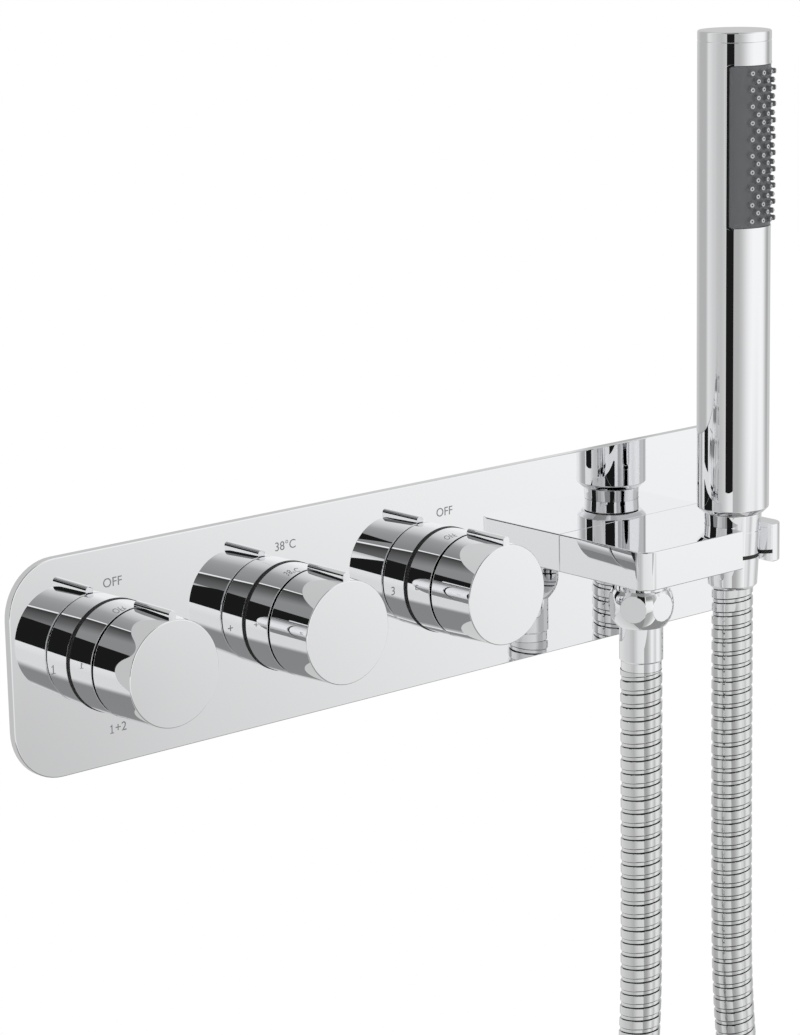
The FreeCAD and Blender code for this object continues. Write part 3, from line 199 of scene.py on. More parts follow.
class HandsetSizes(bpy.types.PropertyGroup):
    radius: length(14.55, "Handset radius")
    turn: rotation(8, "Spray direction", "Spray's turn from the front to the right")
    corner: length(1.2, "Spray insert's corner radius")
    bezel: length(0.7, "Lip round the spray insert")
    nozzle_radius: length(1.15, "Nozzle radius")
    nozzle_height: length(2.0, "Nozzle height")
    nozzle_pitch: length(6.4, "Nozzle to nozzle in a column")
    nozzle_angle: rotation(9.5, "Column angle", "Column to column round the handset")
    columns: IntProperty(name="Columns", description="Columns of nozzles", default=7, min=1, max=15)
    rows: IntProperty(name="Rows", description="Nozzles in a long column", default=10, min=1, max=20)


class MarkSizes(bpy.types.PropertyGroup):
    radius: length(26.9, "Knob axis to its marks")
    height: length(3.3, "Height of the marks")


class ValveColours(bpy.types.PropertyGroup):
    chrome: colour((0.90, 0.905, 0.915), "Polished chrome")
    brass: colour((0.70, 0.52, 0.26), "Brass")
    hose: colour((0.79, 0.795, 0.80), "Hose")
    copper: colour((0.72, 0.36, 0.22), "Copper")
    steel: colour((0.55, 0.55, 0.56), "Steel")
    rubber: colour((0.012, 0.012, 0.013), "Black rubber")
    silicone: colour((0.105, 0.11, 0.117), "Spray insert")
    silicone_pale: colour((0.50, 0.505, 0.51), "Nozzle tips")
    plastic: colour((0.78, 0.78, 0.76), "White plastic")
    ceramic: colour((0.88, 0.87, 0.84), "Ceramic discs")
    ink: colour((0.24, 0.24, 0.25), "Marks")


class StudioSettings(bpy.types.PropertyGroup):
    camera_place: FloatVectorProperty(
        name="Camera", description="Camera's place, in metres", default=(-0.7284, -0.9873, 0.3022),
        size=3, subtype="TRANSLATION",
    )
    camera_turn: rotation(40.70, "Camera turn", "Camera's turn to the right")
    camera_dip: rotation(12.82, "Camera dip", "Camera's dip below the horizon")
    camera_roll: rotation(-1.11, "Camera roll", "Camera's roll about its view")
    camera_lens: FloatProperty(
        name="Focal length", description="Focal length, in millimetres", default=112.43,
        min=1, subtype="DISTANCE_CAMERA",
    )


class ValveSettings(bpy.types.PropertyGroup):
    knob: PointerProperty(type=KnobSizes)
    shelf: PointerProperty(type=ShelfSizes)
    fitting: PointerProperty(type=FittingSizes)
    hose: PointerProperty(type=HoseSizes)
    handset: PointerProperty(type=HandsetSizes)
    mark: PointerProperty(type=MarkSizes)
    colour: PointerProperty(type=ValveColours)
    studio: PointerProperty(type=StudioSettings)


# ---------------------------------------------------------------- places in the frame
def box(node):
    low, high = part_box(node)
    return Vector(low), Vector(high)


def middle(node):
    low, high = box(node)
    return (low + high) / 2


def outward(x, y, z=0.0):
    """Takes a shape that is turned round +Z to an axis pointing out of the wall, from (x, y, z)."""
    return Matrix.Translation((x, y, z)) @ Matrix.Rotation(math.radians(90), 4, "X")


def upright(x, y, z=0.0):
    return Matrix.Translation((x, y, z))


# ---------------------------------------------------------------- modelling helpers
def lathe(points, steps=128, closed=True):
    """A turned shape round +Z from a few (radius, height) points, in metres."""
    bm = bmesh.new()
    verts = [bm.verts.new((radius, 0, height)) for radius, height in points]
    pairs = list(zip(verts, verts[1:]))
    if closed:
        pairs.append((verts[-1], verts[0]))
    edges = [bm.edges.new(pair) for pair in pairs]
    bmesh.ops.spin(
        bm, geom=verts + edges, cent=(0, 0, 0), axis=(0, 0, 1), dvec=(0, 0, 0),
        angle=2 * math.pi, steps=steps, use_merge=True, use_normal_flip=False, use_duplicate=False,
    )
    bmesh.ops.remove_doubles(bm, verts=bm.verts, dist=WELD)
    bmesh.ops.dissolve_degenerate(bm, edges=bm.edges, dist=1e-8)
    bmesh.ops.recalc_face_normals(bm, faces=bm.faces)
    return bm


def rod(radius, low, high, steps):
    """A solid cylinder round +Z."""
    return lathe([(0, low), (radius, low), (radius, high), (0, high)], steps, False)


def ring(inner, outer, low, high, steps=128):
    """A plain ring round +Z."""
    return lathe([(inner, low), (outer, low), (outer, high), (inner, high)], steps)


def runs(edge, axis):
    """Says if an edge is a long one along an axis."""
    first, second = edge.verts
    return abs(first.co[axis] - second.co[axis]) > LONG


def cut_off(bm, spot, normal):
    """Removes what lies beyond a plane."""
    geom = bm.verts[:] + bm.edges[:] + bm.faces[:]
    bmesh.ops.bisect_plane(bm, geom=geom, dist=WELD, plane_co=spot, plane_no=normal, clear_outer=True)


def soften(bm, size, segments=3, picks=None, angle=30):
    """Rounds the sharp edges that picks says yes to."""
    limit = math.radians(angle)
    edges = [e for e in bm.edges if len(e.link_faces) == 2 and e.calc_face_angle(0) > limit]
    if picks:
        edges = [e for e in edges if picks(e)]
    bmesh.ops.bevel(
        bm, geom=edges, offset=size, offset_type="OFFSET", segments=segments, profile=0.5,
        affect="EDGES", material=-1, clamp_overlap=True,
    )
    return bm


def slab(low, high):
    """A box between two corners."""
    bm = bmesh.new()
    size = Vector(high) - Vector(low)
    place = Matrix.Translation((Vector(high) + Vector(low)) / 2) @ Matrix.Diagonal((*size, 1))
    bmesh.ops.create_cube(bm, size=1, matrix=place)
    return bm


def moved(bm, matrix):
    bmesh.ops.transform(bm, matrix=matrix, verts=bm.verts)
    return bm


def stamp(bm, pattern, matrix):
    """Adds a copy of a mesh to a bmesh, at a place."""
    known = set(bm.verts)
    bm.from_mesh(pattern)
    bmesh.ops.transform(bm, matrix=matrix, verts=[v for v in bm.verts if v not in known])


def mesh_of(bm, name):
    mesh = bpy.data.meshes.new(name)
    bm.to_mesh(mesh)
    bm.free()
    return mesh


def linked(name, data):
    """A new object in the scene."""
    obj = bpy.data.objects.new(name, data)
    bpy.context.collection.objects.link(obj)
    return obj


def evaluated(obj):
    """A new mesh of the object as its modifiers leave it."""
    depsgraph = bpy.context.evaluated_depsgraph_get()
    return bpy.data.meshes.new_from_object(obj.evaluated_get(depsgraph))


def discard(*things):
    """Removes helper objects with their meshes."""
    for thing in things:
        data = thing.data
        bpy.data.objects.remove(thing)
        bpy.data.meshes.remove(data)


def carved(mesh, cutters, operation="DIFFERENCE"):
    """The mesh after boolean cuts by other meshes, which are used up."""
    base = linked("blank", mesh)
    helpers = [linked("cutter", cutter) for cutter in cutters]
    for helper in helpers:
        modifier = base.modifiers.new("cut", "BOOLEAN")
        modifier.operation = operation
        modifier.solver = "EXACT"
        modifier.object = helper
    result = evaluated(base)
    discard(*helpers, base)
    return result


def piece(name, mesh, body, material, replaces=(), angle=40, weighted=True):
    """A finished piece: shaded, riding on its body and standing for its CAD nodes."""
    mesh.name = name
    kinds = [face.material_index for face in mesh.polygons]
    mesh.materials.clear()
    for each in material if isinstance(material, (list, tuple)) else [material]:
        mesh.materials.append(each)
    if isinstance(material, (list, tuple)):
        mesh.polygons.foreach_set("material_index", kinds)
    mesh.shade_smooth()
    mesh.set_sharp_from_angle(angle=math.radians(angle))
    obj = linked(name, mesh)
    if weighted:
        modifier = obj.modifiers.new("even_shading", "WEIGHTED_NORMAL")
        modifier.keep_sharp = True
        modifier.weight = 100
    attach(obj, body)
    if replaces:
        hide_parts(*replaces)
    return obj


def fitted(name, mesh, body, look, replaces=(), angle=40, slot="polished_chrome"):
    """A piece in the finish of its own slot."""
    return piece(name, mesh, body, look[slot], replaces, angle)


def smooth_copy(node, name, body, material, angle=35):
    """A CAD node's mesh, merged and shaded smooth across its gentle edges."""
    bm = bmesh.new()
    bm.from_mesh(frame["nodes"][node].data)
    bmesh.ops.remove_doubles(bm, verts=bm.verts, dist=1e-6)
    return piece(name, mesh_of(bm, name), body, material, [node], angle)


# ---------------------------------------------------------------- materials
def node_group(name, build, inputs, outputs):
    group = bpy.data.node_groups.get(name)
    if group:
        return group
    group = bpy.data.node_groups.new(name, "ShaderNodeTree")
    for label, kind, default in inputs:
        socket = group.interface.new_socket(label, in_out="INPUT", socket_type=kind)
        socket.default_value = default
    for label, kind in outputs:
        group.interface.new_socket(label, in_out="OUTPUT", socket_type=kind)
    build(group.nodes, group.links)
    return group


def new_node(nodes, kind, **values):
    """A node with some of its inputs set; an underscore stands for a space."""
    node = nodes.new(kind)
    for label, value in values.items():
        node.inputs[label.replace("_", " ")].default_value = value
    return node


def _fine_wear(nodes, links):
    """Faint smears and hairlines: a roughness that varies and a height for a bump."""
    inside = nodes.new("NodeGroupInput")
    outside = nodes.new("NodeGroupOutput")
    place = nodes.new("ShaderNodeTexCoord")
    smears = new_node(nodes, "ShaderNodeTexNoise", Scale=38, Detail=4)
    links.new(place.outputs["Object"], smears.inputs["Vector"])
    spread = new_node(nodes, "ShaderNodeMapRange", From_Min=0.42, From_Max=0.72)
    links.new(smears.outputs["Fac"], spread.inputs["Value"])
    links.new(inside.outputs["Low"], spread.inputs["To Min"])
    links.new(inside.outputs["High"], spread.inputs["To Max"])
    links.new(spread.outputs["Result"], outside.inputs["Roughness"])
    ripple = new_node(nodes, "ShaderNodeTexNoise", Scale=14, Detail=1)
    links.new(place.outputs["Object"], ripple.inputs["Vector"])
    links.new(ripple.outputs["Fac"], outside.inputs["Height"])


def _grain(nodes, links):
    """An even fine grain and a broad mottling."""
    inside = nodes.new("NodeGroupInput")
    outside = nodes.new("NodeGroupOutput")
    place = nodes.new("ShaderNodeTexCoord")
    fine = new_node(nodes, "ShaderNodeTexNoise", Detail=3)
    links.new(place.outputs["Object"], fine.inputs["Vector"])
    links.new(inside.outputs["Scale"], fine.inputs["Scale"])
    links.new(fine.outputs["Fac"], outside.inputs["Height"])
    broad = new_node(nodes, "ShaderNodeTexNoise", Scale=60, Detail=5)
    links.new(place.outputs["Object"], broad.inputs["Vector"])
    links.new(broad.outputs["Fac"], outside.inputs["Mottle"])


def fine_wear_group():
    inputs = [("Low", "NodeSocketFloat", 0.02), ("High", "NodeSocketFloat", 0.05)]
    outputs = [("Roughness", "NodeSocketFloat"), ("Height", "NodeSocketFloat")]
    return node_group("fine_wear", _fine_wear, inputs, outputs)


def grain_group():
    inputs = [("Scale", "NodeSocketFloat", 900.0)]
    outputs = [("Height", "NodeSocketFloat"), ("Mottle", "NodeSocketFloat")]
    return node_group("grain", _grain, inputs, outputs)


def new_material(name):
    material = bpy.data.materials.get(name)
    if material:
        return material, None, None, None
    material = bpy.data.materials.new(name)
    material.use_nodes = True
    nodes, links = material.node_tree.nodes, material.node_tree.links
    return material, nodes, links, nodes["Principled BSDF"]


def add_bump(nodes, links, shader, height, strength, distance):
    bump = new_node(nodes, "ShaderNodeBump", Strength=strength, Distance=distance)
    links.new(height, bump.inputs["Height"])
    links.new(bump.outputs["Normal"], shader.inputs["Normal"])


def mottled(nodes, links, shader, mottle, colour_value, depth):
    """Base colour varied a little, darker and lighter, by a mask."""
    mix = nodes.new("ShaderNodeMix")
    mix.data_type = "RGBA"
    mix.inputs["A"].default_value = (*[c * (1 - depth) for c in colour_value], 1)
    mix.inputs["B"].default_value = (*[min(1, c * (1 + depth)) for c in colour_value], 1)
    links.new(mottle, mix.inputs["Factor"])
    links.new(mix.outputs["Result"], shader.inputs["Base Color"])


def metal(name, colour_value, low, high, ripple=0.02):
    material, nodes, links, shader = new_material(name)
    if nodes is None:
        return material
    shader.inputs["Base Color"].default_value = (*colour_value, 1)
    shader.inputs["Metallic"].default_value = 1
    wear = nodes.new("ShaderNodeGroup")
    wear.node_tree = fine_wear_group()
    wear.inputs["Low"].default_value = low
    wear.inputs["High"].default_value = high
    links.new(wear.outputs["Roughness"], shader.inputs["Roughness"])
    add_bump(nodes, links, shader, wear.outputs["Height"], ripple, 0.0004)
    return material


def grained(nodes, links, shader, colour_value, scale, depth, bump, distance):
    """Mottled colour and a bump, both from one grain."""
    grain = nodes.new("ShaderNodeGroup")
    grain.node_tree = grain_group()
    grain.inputs["Scale"].default_value = scale
    mottled(nodes, links, shader, grain.outputs["Mottle"], colour_value, depth)
    add_bump(nodes, links, shader, grain.outputs["Height"], bump, distance)


def rough_metal(name, colour_value, roughness, scale, bump, depth=0.12):
    material, nodes, links, shader = new_material(name)
    if nodes is None:
        return material
    shader.inputs["Metallic"].default_value = 1
    shader.inputs["Roughness"].default_value = roughness
    grained(nodes, links, shader, colour_value, scale, depth, bump, 0.0003)
    return material


def moulded(name, colour_value, roughness, scale=1400, bump=0.08, depth=0.06, sheen=0.0):
    material, nodes, links, shader = new_material(name)
    if nodes is None:
        return material
    shader.inputs["Roughness"].default_value = roughness
    shader.inputs["Sheen Weight"].default_value = sheen
    grained(nodes, links, shader, colour_value, scale, depth, bump, 0.0001)
    return material


def finishes():
    """The material of each of the record's slots."""
    tint = bpy.context.scene.shower_valve.colour
    return {
        "polished_chrome": metal("mirror_chrome", tint.chrome, 0.0, 0.008, 0.004),
        "hose_chrome": metal("satin_chrome", tint.hose, 0.05, 0.11, 0.01),
        "cast_brass": rough_metal("sand_cast_brass", tint.brass, 0.42, 700, 0.35, 0.18),
        "turned_brass": metal("lathe_turned_brass", tint.brass, 0.16, 0.26, 0.05),
        "copper": metal("drawn_copper", tint.copper, 0.18, 0.3, 0.05),
        "steel": metal("turned_steel", tint.steel, 0.2, 0.32, 0.05),
        "black_rubber": moulded("matt_black_rubber", tint.rubber, 0.55),
        "grey_silicone": moulded("satin_grey_silicone", tint.silicone, 0.42, 1800, 0.1, 0.08, 0.2),
        "white_plastic": moulded("moulded_white_plastic", tint.plastic, 0.35),
        "ceramic": moulded("lapped_ceramic", tint.ceramic, 0.12, 2500, 0.02, 0.03),
        "nozzle": moulded("pale_silicone", tint.silicone_pale, 0.38, 1800, 0.05, 0.06, 0.1),
        "ink": moulded("printed_ink", tint.ink, 0.5, 3000, 0.02, 0.04),
    }


# ---------------------------------------------------------------- pieces
class SHOWER_OT_studio(bpy.types.Operator):
    """Set up the camera, the wall, the floor, and the cards and tent painted into the metal's reflections"""

    bl_idname = "shower.studio"
    bl_label = "Studio"

    def execute(self, context):
        studio = context.scene.shower_valve.studio
        self.add_camera(context, studio)
        self.add_wall()
        self.add_floor()
        self.add_cards(studio)
        self.add_room(context)
        context.scene.view_settings.view_transform = "Standard"
        return {"FINISHED"}

    def add_camera(self, context, studio):
        data = bpy.data.cameras.new("camera")
        data.lens = studio.camera_lens
        data.sensor_width = 36
        data.clip_end = 50
        camera = linked("camera", data)
        camera.location = studio.camera_place
        turn = Matrix.Rotation(-studio.camera_turn, 3, "Z")
        tilt = Matrix.Rotation(math.radians(90) - studio.camera_dip, 3, "X")
        roll = Matrix.Rotation(studio.camera_roll, 3, "Z")
        camera.rotation_euler = (turn @ tilt @ roll).to_euler()
        context.scene.camera = camera

    def add_wall(self):
        """A white wall level with the plate's back, seen from its front. Metal shows it with painted shade
        across it and a painted shadow of the handset.
        """
        gap, size = 0.0001, 6
        place = outward(0, box("wall_plate")[1].y + gap)
        nodes, links, clear = self.staged_sheet("backdrop_wall", size, place)
        path = nodes.new("ShaderNodeLightPath")
        side = nodes.new("ShaderNodeNewGeometry")
        seen = path.outputs["Is Camera Ray"]
        for ray in ("Is Glossy Ray", "Is Transmission Ray"):
            seen = self.maths(nodes, links, "ADD", seen, path.outputs[ray], clamp=True)
        seen = self.maths(nodes, links, "SUBTRACT", seen, side.outputs["Backfacing"], clamp=True)
        # painted shade of the wall in the metal's reflections: darker to the left, with a painted handset
        # shadow from x 0.163 to 0.188
        stops = (
            (-0.3, 0.56), (-0.03, 0.58), (0.106, 0.67), (0.150, 0.78),
            (0.163, 0.48), (0.188, 0.48), (0.2, 0.6), (0.5, 0.6),
        )
        wall_painted_shade = self.ramp(nodes, links, self.coordinate(nodes, links, (1, 0, 0)), stops)
        strength = new_node(nodes, "ShaderNodeMix", B=1)
        links.new(path.outputs["Is Camera Ray"], strength.inputs["Factor"])
        links.new(wall_painted_shade, strength.inputs["A"])
        white = nodes.new("ShaderNodeEmission")
        links.new(strength.outputs["Result"], white.inputs["Strength"])
        self.blend_shaders(nodes, links, seen, clear, white)

    def add_floor(self):
        """A plain pale floor under the hose. Metal shows the painted tent reflection instead of it."""
        drop, size = 0.02, 4
        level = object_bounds()[0][2] - drop
        nodes, links, clear = self.staged_sheet("pale_floor", size, Matrix.Translation((0, 0, level)))
        path = nodes.new("ShaderNodeLightPath")
        rays = (path.outputs["Is Glossy Ray"], path.outputs["Is Transmission Ray"])
        seen = self.maths(nodes, links, "ADD", *rays, clamp=True)
        pale = new_node(nodes, "ShaderNodeBsdfDiffuse", Color=(0.97, 0.97, 0.97, 1))
        self.blend_shaders(nodes, links, seen, pale, clear)

    def staged_sheet(self, name, size, place):
        """A flat square of the set, with an empty material to be filled in."""
        bm = bmesh.new()
        bmesh.ops.create_grid(bm, x_segments=1, y_segments=1, size=size)
        return self.staged(name, mesh_of(moved(bm, place), name))

    def staged(self, name, mesh):
        obj = linked(name, mesh)
        material, nodes, links, shader = new_material(name)
        material.cycles.emission_sampling = "NONE"
        nodes.remove(shader)
        mesh.materials.append(material)
        obj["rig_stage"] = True
        return nodes, links, nodes.new("ShaderNodeBsdfTransparent")

    def maths(self, nodes, links, operation, *values, clamp=False):
        """A calculation on outputs and plain numbers."""
        node = nodes.new("ShaderNodeMath")
        node.operation = operation
        node.use_clamp = clamp
        for socket, value in zip(node.inputs, values):
            if isinstance(value, (int, float)):
                socket.default_value = value
            else:
                links.new(value, socket)
        return node.outputs["Value"]

    def coordinate(self, nodes, links, direction):
        """How far a point of the set lies along a direction."""
        place = nodes.new("ShaderNodeTexCoord")
        along = nodes.new("ShaderNodeVectorMath")
        along.operation = "DOT_PRODUCT"
        along.inputs[1].default_value = direction
        links.new(place.outputs["Object"], along.inputs[0])
        return along.outputs["Value"]

    def ramp(self, nodes, links, value, stops):
        """Brightness along a value, from (value, brightness) stops."""
        first, last = stops[0][0], stops[-1][0]
        share = new_node(nodes, "ShaderNodeMapRange", From_Min=first, From_Max=last)
        links.new(value, share.inputs["Value"])
        shade = nodes.new("ShaderNodeValToRGB")
        while len(shade.color_ramp.elements) < len(stops):
            shade.color_ramp.elements.new(0.5)
        for element, (at, level) in zip(shade.color_ramp.elements, stops):
            element.position = (at - first) / (last - first)
            element.color = (level, level, level, 1)
        links.new(share.outputs["Result"], shade.inputs["Fac"])
        return shade.outputs["Color"]

    def blend_shaders(self, nodes, links, factor, first, second):
        mix = nodes.new("ShaderNodeMixShader")
        links.new(factor, mix.inputs["Fac"])
        links.new(first.outputs[0], mix.inputs[1])
        links.new(second.outputs[0], mix.inputs[2])
        links.new(mix.outputs["Shader"], nodes["Material Output"].inputs["Surface"])

    def add_cards(self, studio):
        """Standing cards that only the metal's reflections show and that light nothing: painted reflections
        of dark slits, their soft frame and soft grey tones beside and below the handset.
        """
        black = ((0.0, 0.012), (1.0, 0.012))
        frame = ((-0.32, 0.30), (0.10, 0.30), (0.19, 0.15), (0.32, 0.04), (0.33, 1.0), (0.35, 1.0))
        beside = (
            (0.2151, 0.46), (0.236, 0.47), (0.252, 0.56), (0.273, 0.70),
            (0.302, 0.84), (0.350, 0.94), (0.471, 1.0),
        )
        below = ((0.225, 0.40), (0.27, 0.45), (0.32, 0.62), (0.40, 0.85), (0.55, 1.0))
        far, near = -studio.camera_turn, math.radians(-60)
        self.card("painted_slit_far", far, 0.683, (-0.181, 0.169), (-0.05, 0.24), black)
        self.card("painted_slit_frame", far, 0.70, (-0.32, 0.35), (0.235, 0.85), frame)
        self.card("painted_slit_near", near, 0.0467, (0.1703, 0.2369), (-0.011, 0.08), black)
        self.card("painted_tone_beside", near, -0.045, (0.2151, 0.471), (-0.012, 0.2045), beside)
        self.card("painted_tone_below", near, 0.02, (0.225, 0.55), (-0.75, -0.062), below)

    def card(self, name, turn, distance, across, up, stops):
        """A standing card of painted reflection, seen only by glossy rays from the object's side; stops are
        (place across, brightness).
        """
        away = Vector((math.sin(turn), -math.cos(turn), 0))
        right = Vector((math.cos(turn), math.sin(turn), 0))
        bm = bmesh.new()
        corners = [(across[0], up[0]), (across[0], up[1]), (across[1], up[1]), (across[1], up[0])]
        verts = [bm.verts.new(away * distance + right * x + Vector((0, 0, z))) for x, z in corners]
        bm.faces.new(verts)
        nodes, links, clear = self.staged(name, mesh_of(bm, name))
        path = nodes.new("ShaderNodeLightPath")
        side = nodes.new("ShaderNodeNewGeometry")
        rays = (path.outputs["Is Glossy Ray"], side.outputs["Backfacing"])
        seen = self.maths(nodes, links, "SUBTRACT", *rays, clamp=True)
        reflection_paint = nodes.new("ShaderNodeEmission")
        level = self.ramp(nodes, links, self.coordinate(nodes, links, right), stops)
        links.new(level, reflection_paint.inputs["Strength"])
        self.blend_shaders(nodes, links, seen, clear, reflection_paint)

    def add_room(self, context):
        """White to the camera and as plain light. Glossy rays see a painted reflection of a pale tent, darker
        above, below and behind, which lights nothing.
        """
        world = context.scene.world or bpy.data.worlds.new("studio")
        context.scene.world = world
        world.use_nodes = True
        nodes, links = world.node_tree.nodes, world.node_tree.links
        nodes.clear()
        out = nodes.new("ShaderNodeOutputWorld")
        path = nodes.new("ShaderNodeLightPath")
        white = new_node(nodes, "ShaderNodeBackground", Color=(1, 1, 1, 1))
        tent = nodes.new("ShaderNodeBackground")
        direction = nodes.new("ShaderNodeTexCoord")
        split = nodes.new("ShaderNodeSeparateXYZ")
        links.new(direction.outputs["Generated"], split.inputs["Vector"])
        front = self.maths(nodes, links, "MULTIPLY", split.outputs["Y"], -1)
        turn = self.maths(nodes, links, "ARCTAN2", split.outputs["X"], front)
        degrees = self.maths(nodes, links, "DEGREES", turn)
        # painted reflection tones of the tent by turn in degrees: round the horizon, low down and high up
        level = (
            (-180, 0.58), (-172, 0.48), (-150, 0.50), (-131, 0.77), (-116, 0.67), (-101, 0.58), (-86, 0.545),
            (-74, 0.6), (-60, 0.86), (-20, 0.9), (0, 0.97), (16, 1.0), (50, 1.0), (60, 0.93), (69, 0.67),
            (78, 0.42), (100, 0.42), (165, 0.59), (180, 0.59),
        )
        low = (
            (-180, 0.5), (-90, 0.5), (-60, 0.78), (-44, 0.80), (-28, 0.82), (20, 0.82), (26, 0.74),
            (29, 0.66), (34, 0.60), (36.5, 0.69), (39.7, 0.775), (42.6, 0.85), (46, 0.92), (60, 0.92),
            (90, 0.5), (180, 0.5),
        )
        high = (
            (-180, 0.45), (-60, 0.30), (-20, 0.28), (4, 0.36), (12, 0.42), (23, 0.68), (31, 0.82), (40, 0.93),
            (60, 0.9), (90, 0.6), (180, 0.45),
        )
        level, low, high = (self.ramp(nodes, links, degrees, stops) for stops in (level, low, high))
        height = split.outputs["Z"]
        painted_room_tone = self.between(nodes, links, height, (-0.30, -0.14), low, level)
        painted_room_tone = self.between(nodes, links, height, (-0.54, -0.45), None, painted_room_tone)
        painted_room_tone = self.between(nodes, links, height, (0.22, 0.42), painted_room_tone, high)
        links.new(painted_room_tone, tent.inputs["Color"])
        mix = nodes.new("ShaderNodeMixShader")
        links.new(path.outputs["Is Glossy Ray"], mix.inputs["Fac"])
        links.new(white.outputs["Background"], mix.inputs[1])
        links.new(tent.outputs["Background"], mix.inputs[2])
        links.new(mix.outputs["Shader"], out.inputs["Surface"])

    def between(self, nodes, links, value, limits, first, second):
        """Passes smoothly from the first brightness to the second; none is the painted tent's dim floor."""
        share = new_node(nodes, "ShaderNodeMapRange", From_Min=limits[0], From_Max=limits[1])
        share.interpolation_type = "SMOOTHSTEP"
        links.new(value, share.inputs["Value"])
        mix = nodes.new("ShaderNodeMix")
        mix.data_type = "RGBA"
        mix.inputs["A"].default_value = (0.28, 0.28, 0.28, 1)
        links.new(share.outputs["Result"], mix.inputs["Factor"])
        if first:
            links.new(first, mix.inputs["A"])
        links.new(second, mix.inputs["B"])
        return mix.outputs["Result"]


class SHOWER_OT_hose(bpy.types.Operator):
    """Hang the ribbed hose from the shelf's outlet round to the conical nut"""

    bl_idname = "shower.hose"
    bl_label = "Ribbed hose"

    def execute(self, context):
        sizes = context.scene.shower_valve.hose
        line = bpy.data.curves.new("hose_line", "CURVE")
        line.dimensions = "3D"
        line.twist_mode = "MINIMUM"
        line.resolution_u = 48
        spline = line.splines.new("NURBS")
        spline.points.add(len(HOSE_LINE) - 1)
        for point, place in zip(spline.points, HOSE_LINE):
            point.co = (*place, 1)
        spline.order_u = 3
        spline.use_endpoint_u = True
        spline.resolution_u = 48
        guide = linked("hose_line", line)
        traced = evaluated(guide)
        path = [v.co.copy() for v in traced.vertices]
        reach = sum((b - a).length for a, b in zip(path, path[1:]))
        count = round(reach / sizes.rib_pitch)
        tube = self.strip(guide, sizes, reach / count, count)
        look = finishes()
        # the second finish, black, paints shade into the hose's groove bottoms
        finish = [look["hose_chrome"], look["black_rubber"]]
        hose = piece("ribbed_hose", tube, "valve", finish, angle=22, weighted=False)
        bpy.data.objects.remove(guide)
        bpy.data.meshes.remove(traced)
        hose.parent = None
        del hose["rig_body"]
        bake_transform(hose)
        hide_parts("shower_hose")
        return {"FINISHED"}

    def strip(self, guide, sizes, pitch, count):
        """A ribbed strip wound along X, cut square at both ends and bent along the hose's line."""
        crest, root = sizes.crest, sizes.root
        painted_shade_groove_radius = root - 0.0005
        profile = [
            (painted_shade_groove_radius, 0.0), (crest - 0.00012, 0.005), (crest, 0.035), (crest - 0.00004, 0.60),
            (crest - 0.00014, 0.635), (painted_shade_groove_radius, 0.64), (painted_shade_groove_radius, 0.69), (root, 0.695), (root, 0.925),
            (painted_shade_groove_radius, 0.93), (painted_shade_groove_radius, 1.0),
        ]
        bm = bmesh.new()
        verts = [bm.verts.new(((at - 1) * pitch, 0, radius)) for radius, at in profile]
        edges = [bm.edges.new(pair) for pair in zip(verts, verts[1:])]
        bmesh.ops.spin(
            bm, geom=verts + edges, cent=(0, 0, 0), axis=(1, 0, 0), dvec=(pitch / sizes.sides, 0, 0),
            angle=2 * math.pi, steps=sizes.sides, use_merge=False, use_duplicate=False,
        )
        bmesh.ops.remove_doubles(bm, verts=bm.verts, dist=WELD)
        # faces at the groove bottom get the black finish: painted shade in the grooves
        for face in bm.faces:
            face.material_index = int(max(v.co.yz.length for v in face.verts) < painted_shade_groove_radius + 0.0001)
        turn = linked("turn", mesh_of(bm, "turn"))
        row = turn.modifiers.new("row", "ARRAY")
        row.count = count + 1
        row.use_relative_offset = False
        row.use_constant_offset = True
        row.constant_offset_displace = (pitch, 0, 0)
        row.use_merge_vertices = True
        row.merge_threshold = 1e-6
        wound = evaluated(turn)
        discard(turn)
        bm = bmesh.new()
        bm.from_mesh(wound)
        bmesh.ops.remove_doubles(bm, verts=bm.verts, dist=2e-6)
        for at, side in ((0, -1), (count * pitch, 1)):
            cut_off(bm, (at, 0, 0), (side, 0, 0))
        bmesh.ops.recalc_face_normals(bm, faces=bm.faces)
        strip = linked("strip", mesh_of(bm, "strip"))
        bend = strip.modifiers.new("bend", "CURVE")
        bend.object = guide
        bend.deform_axis = "POS_X"
        tube = evaluated(strip)
        discard(strip)
        return tube


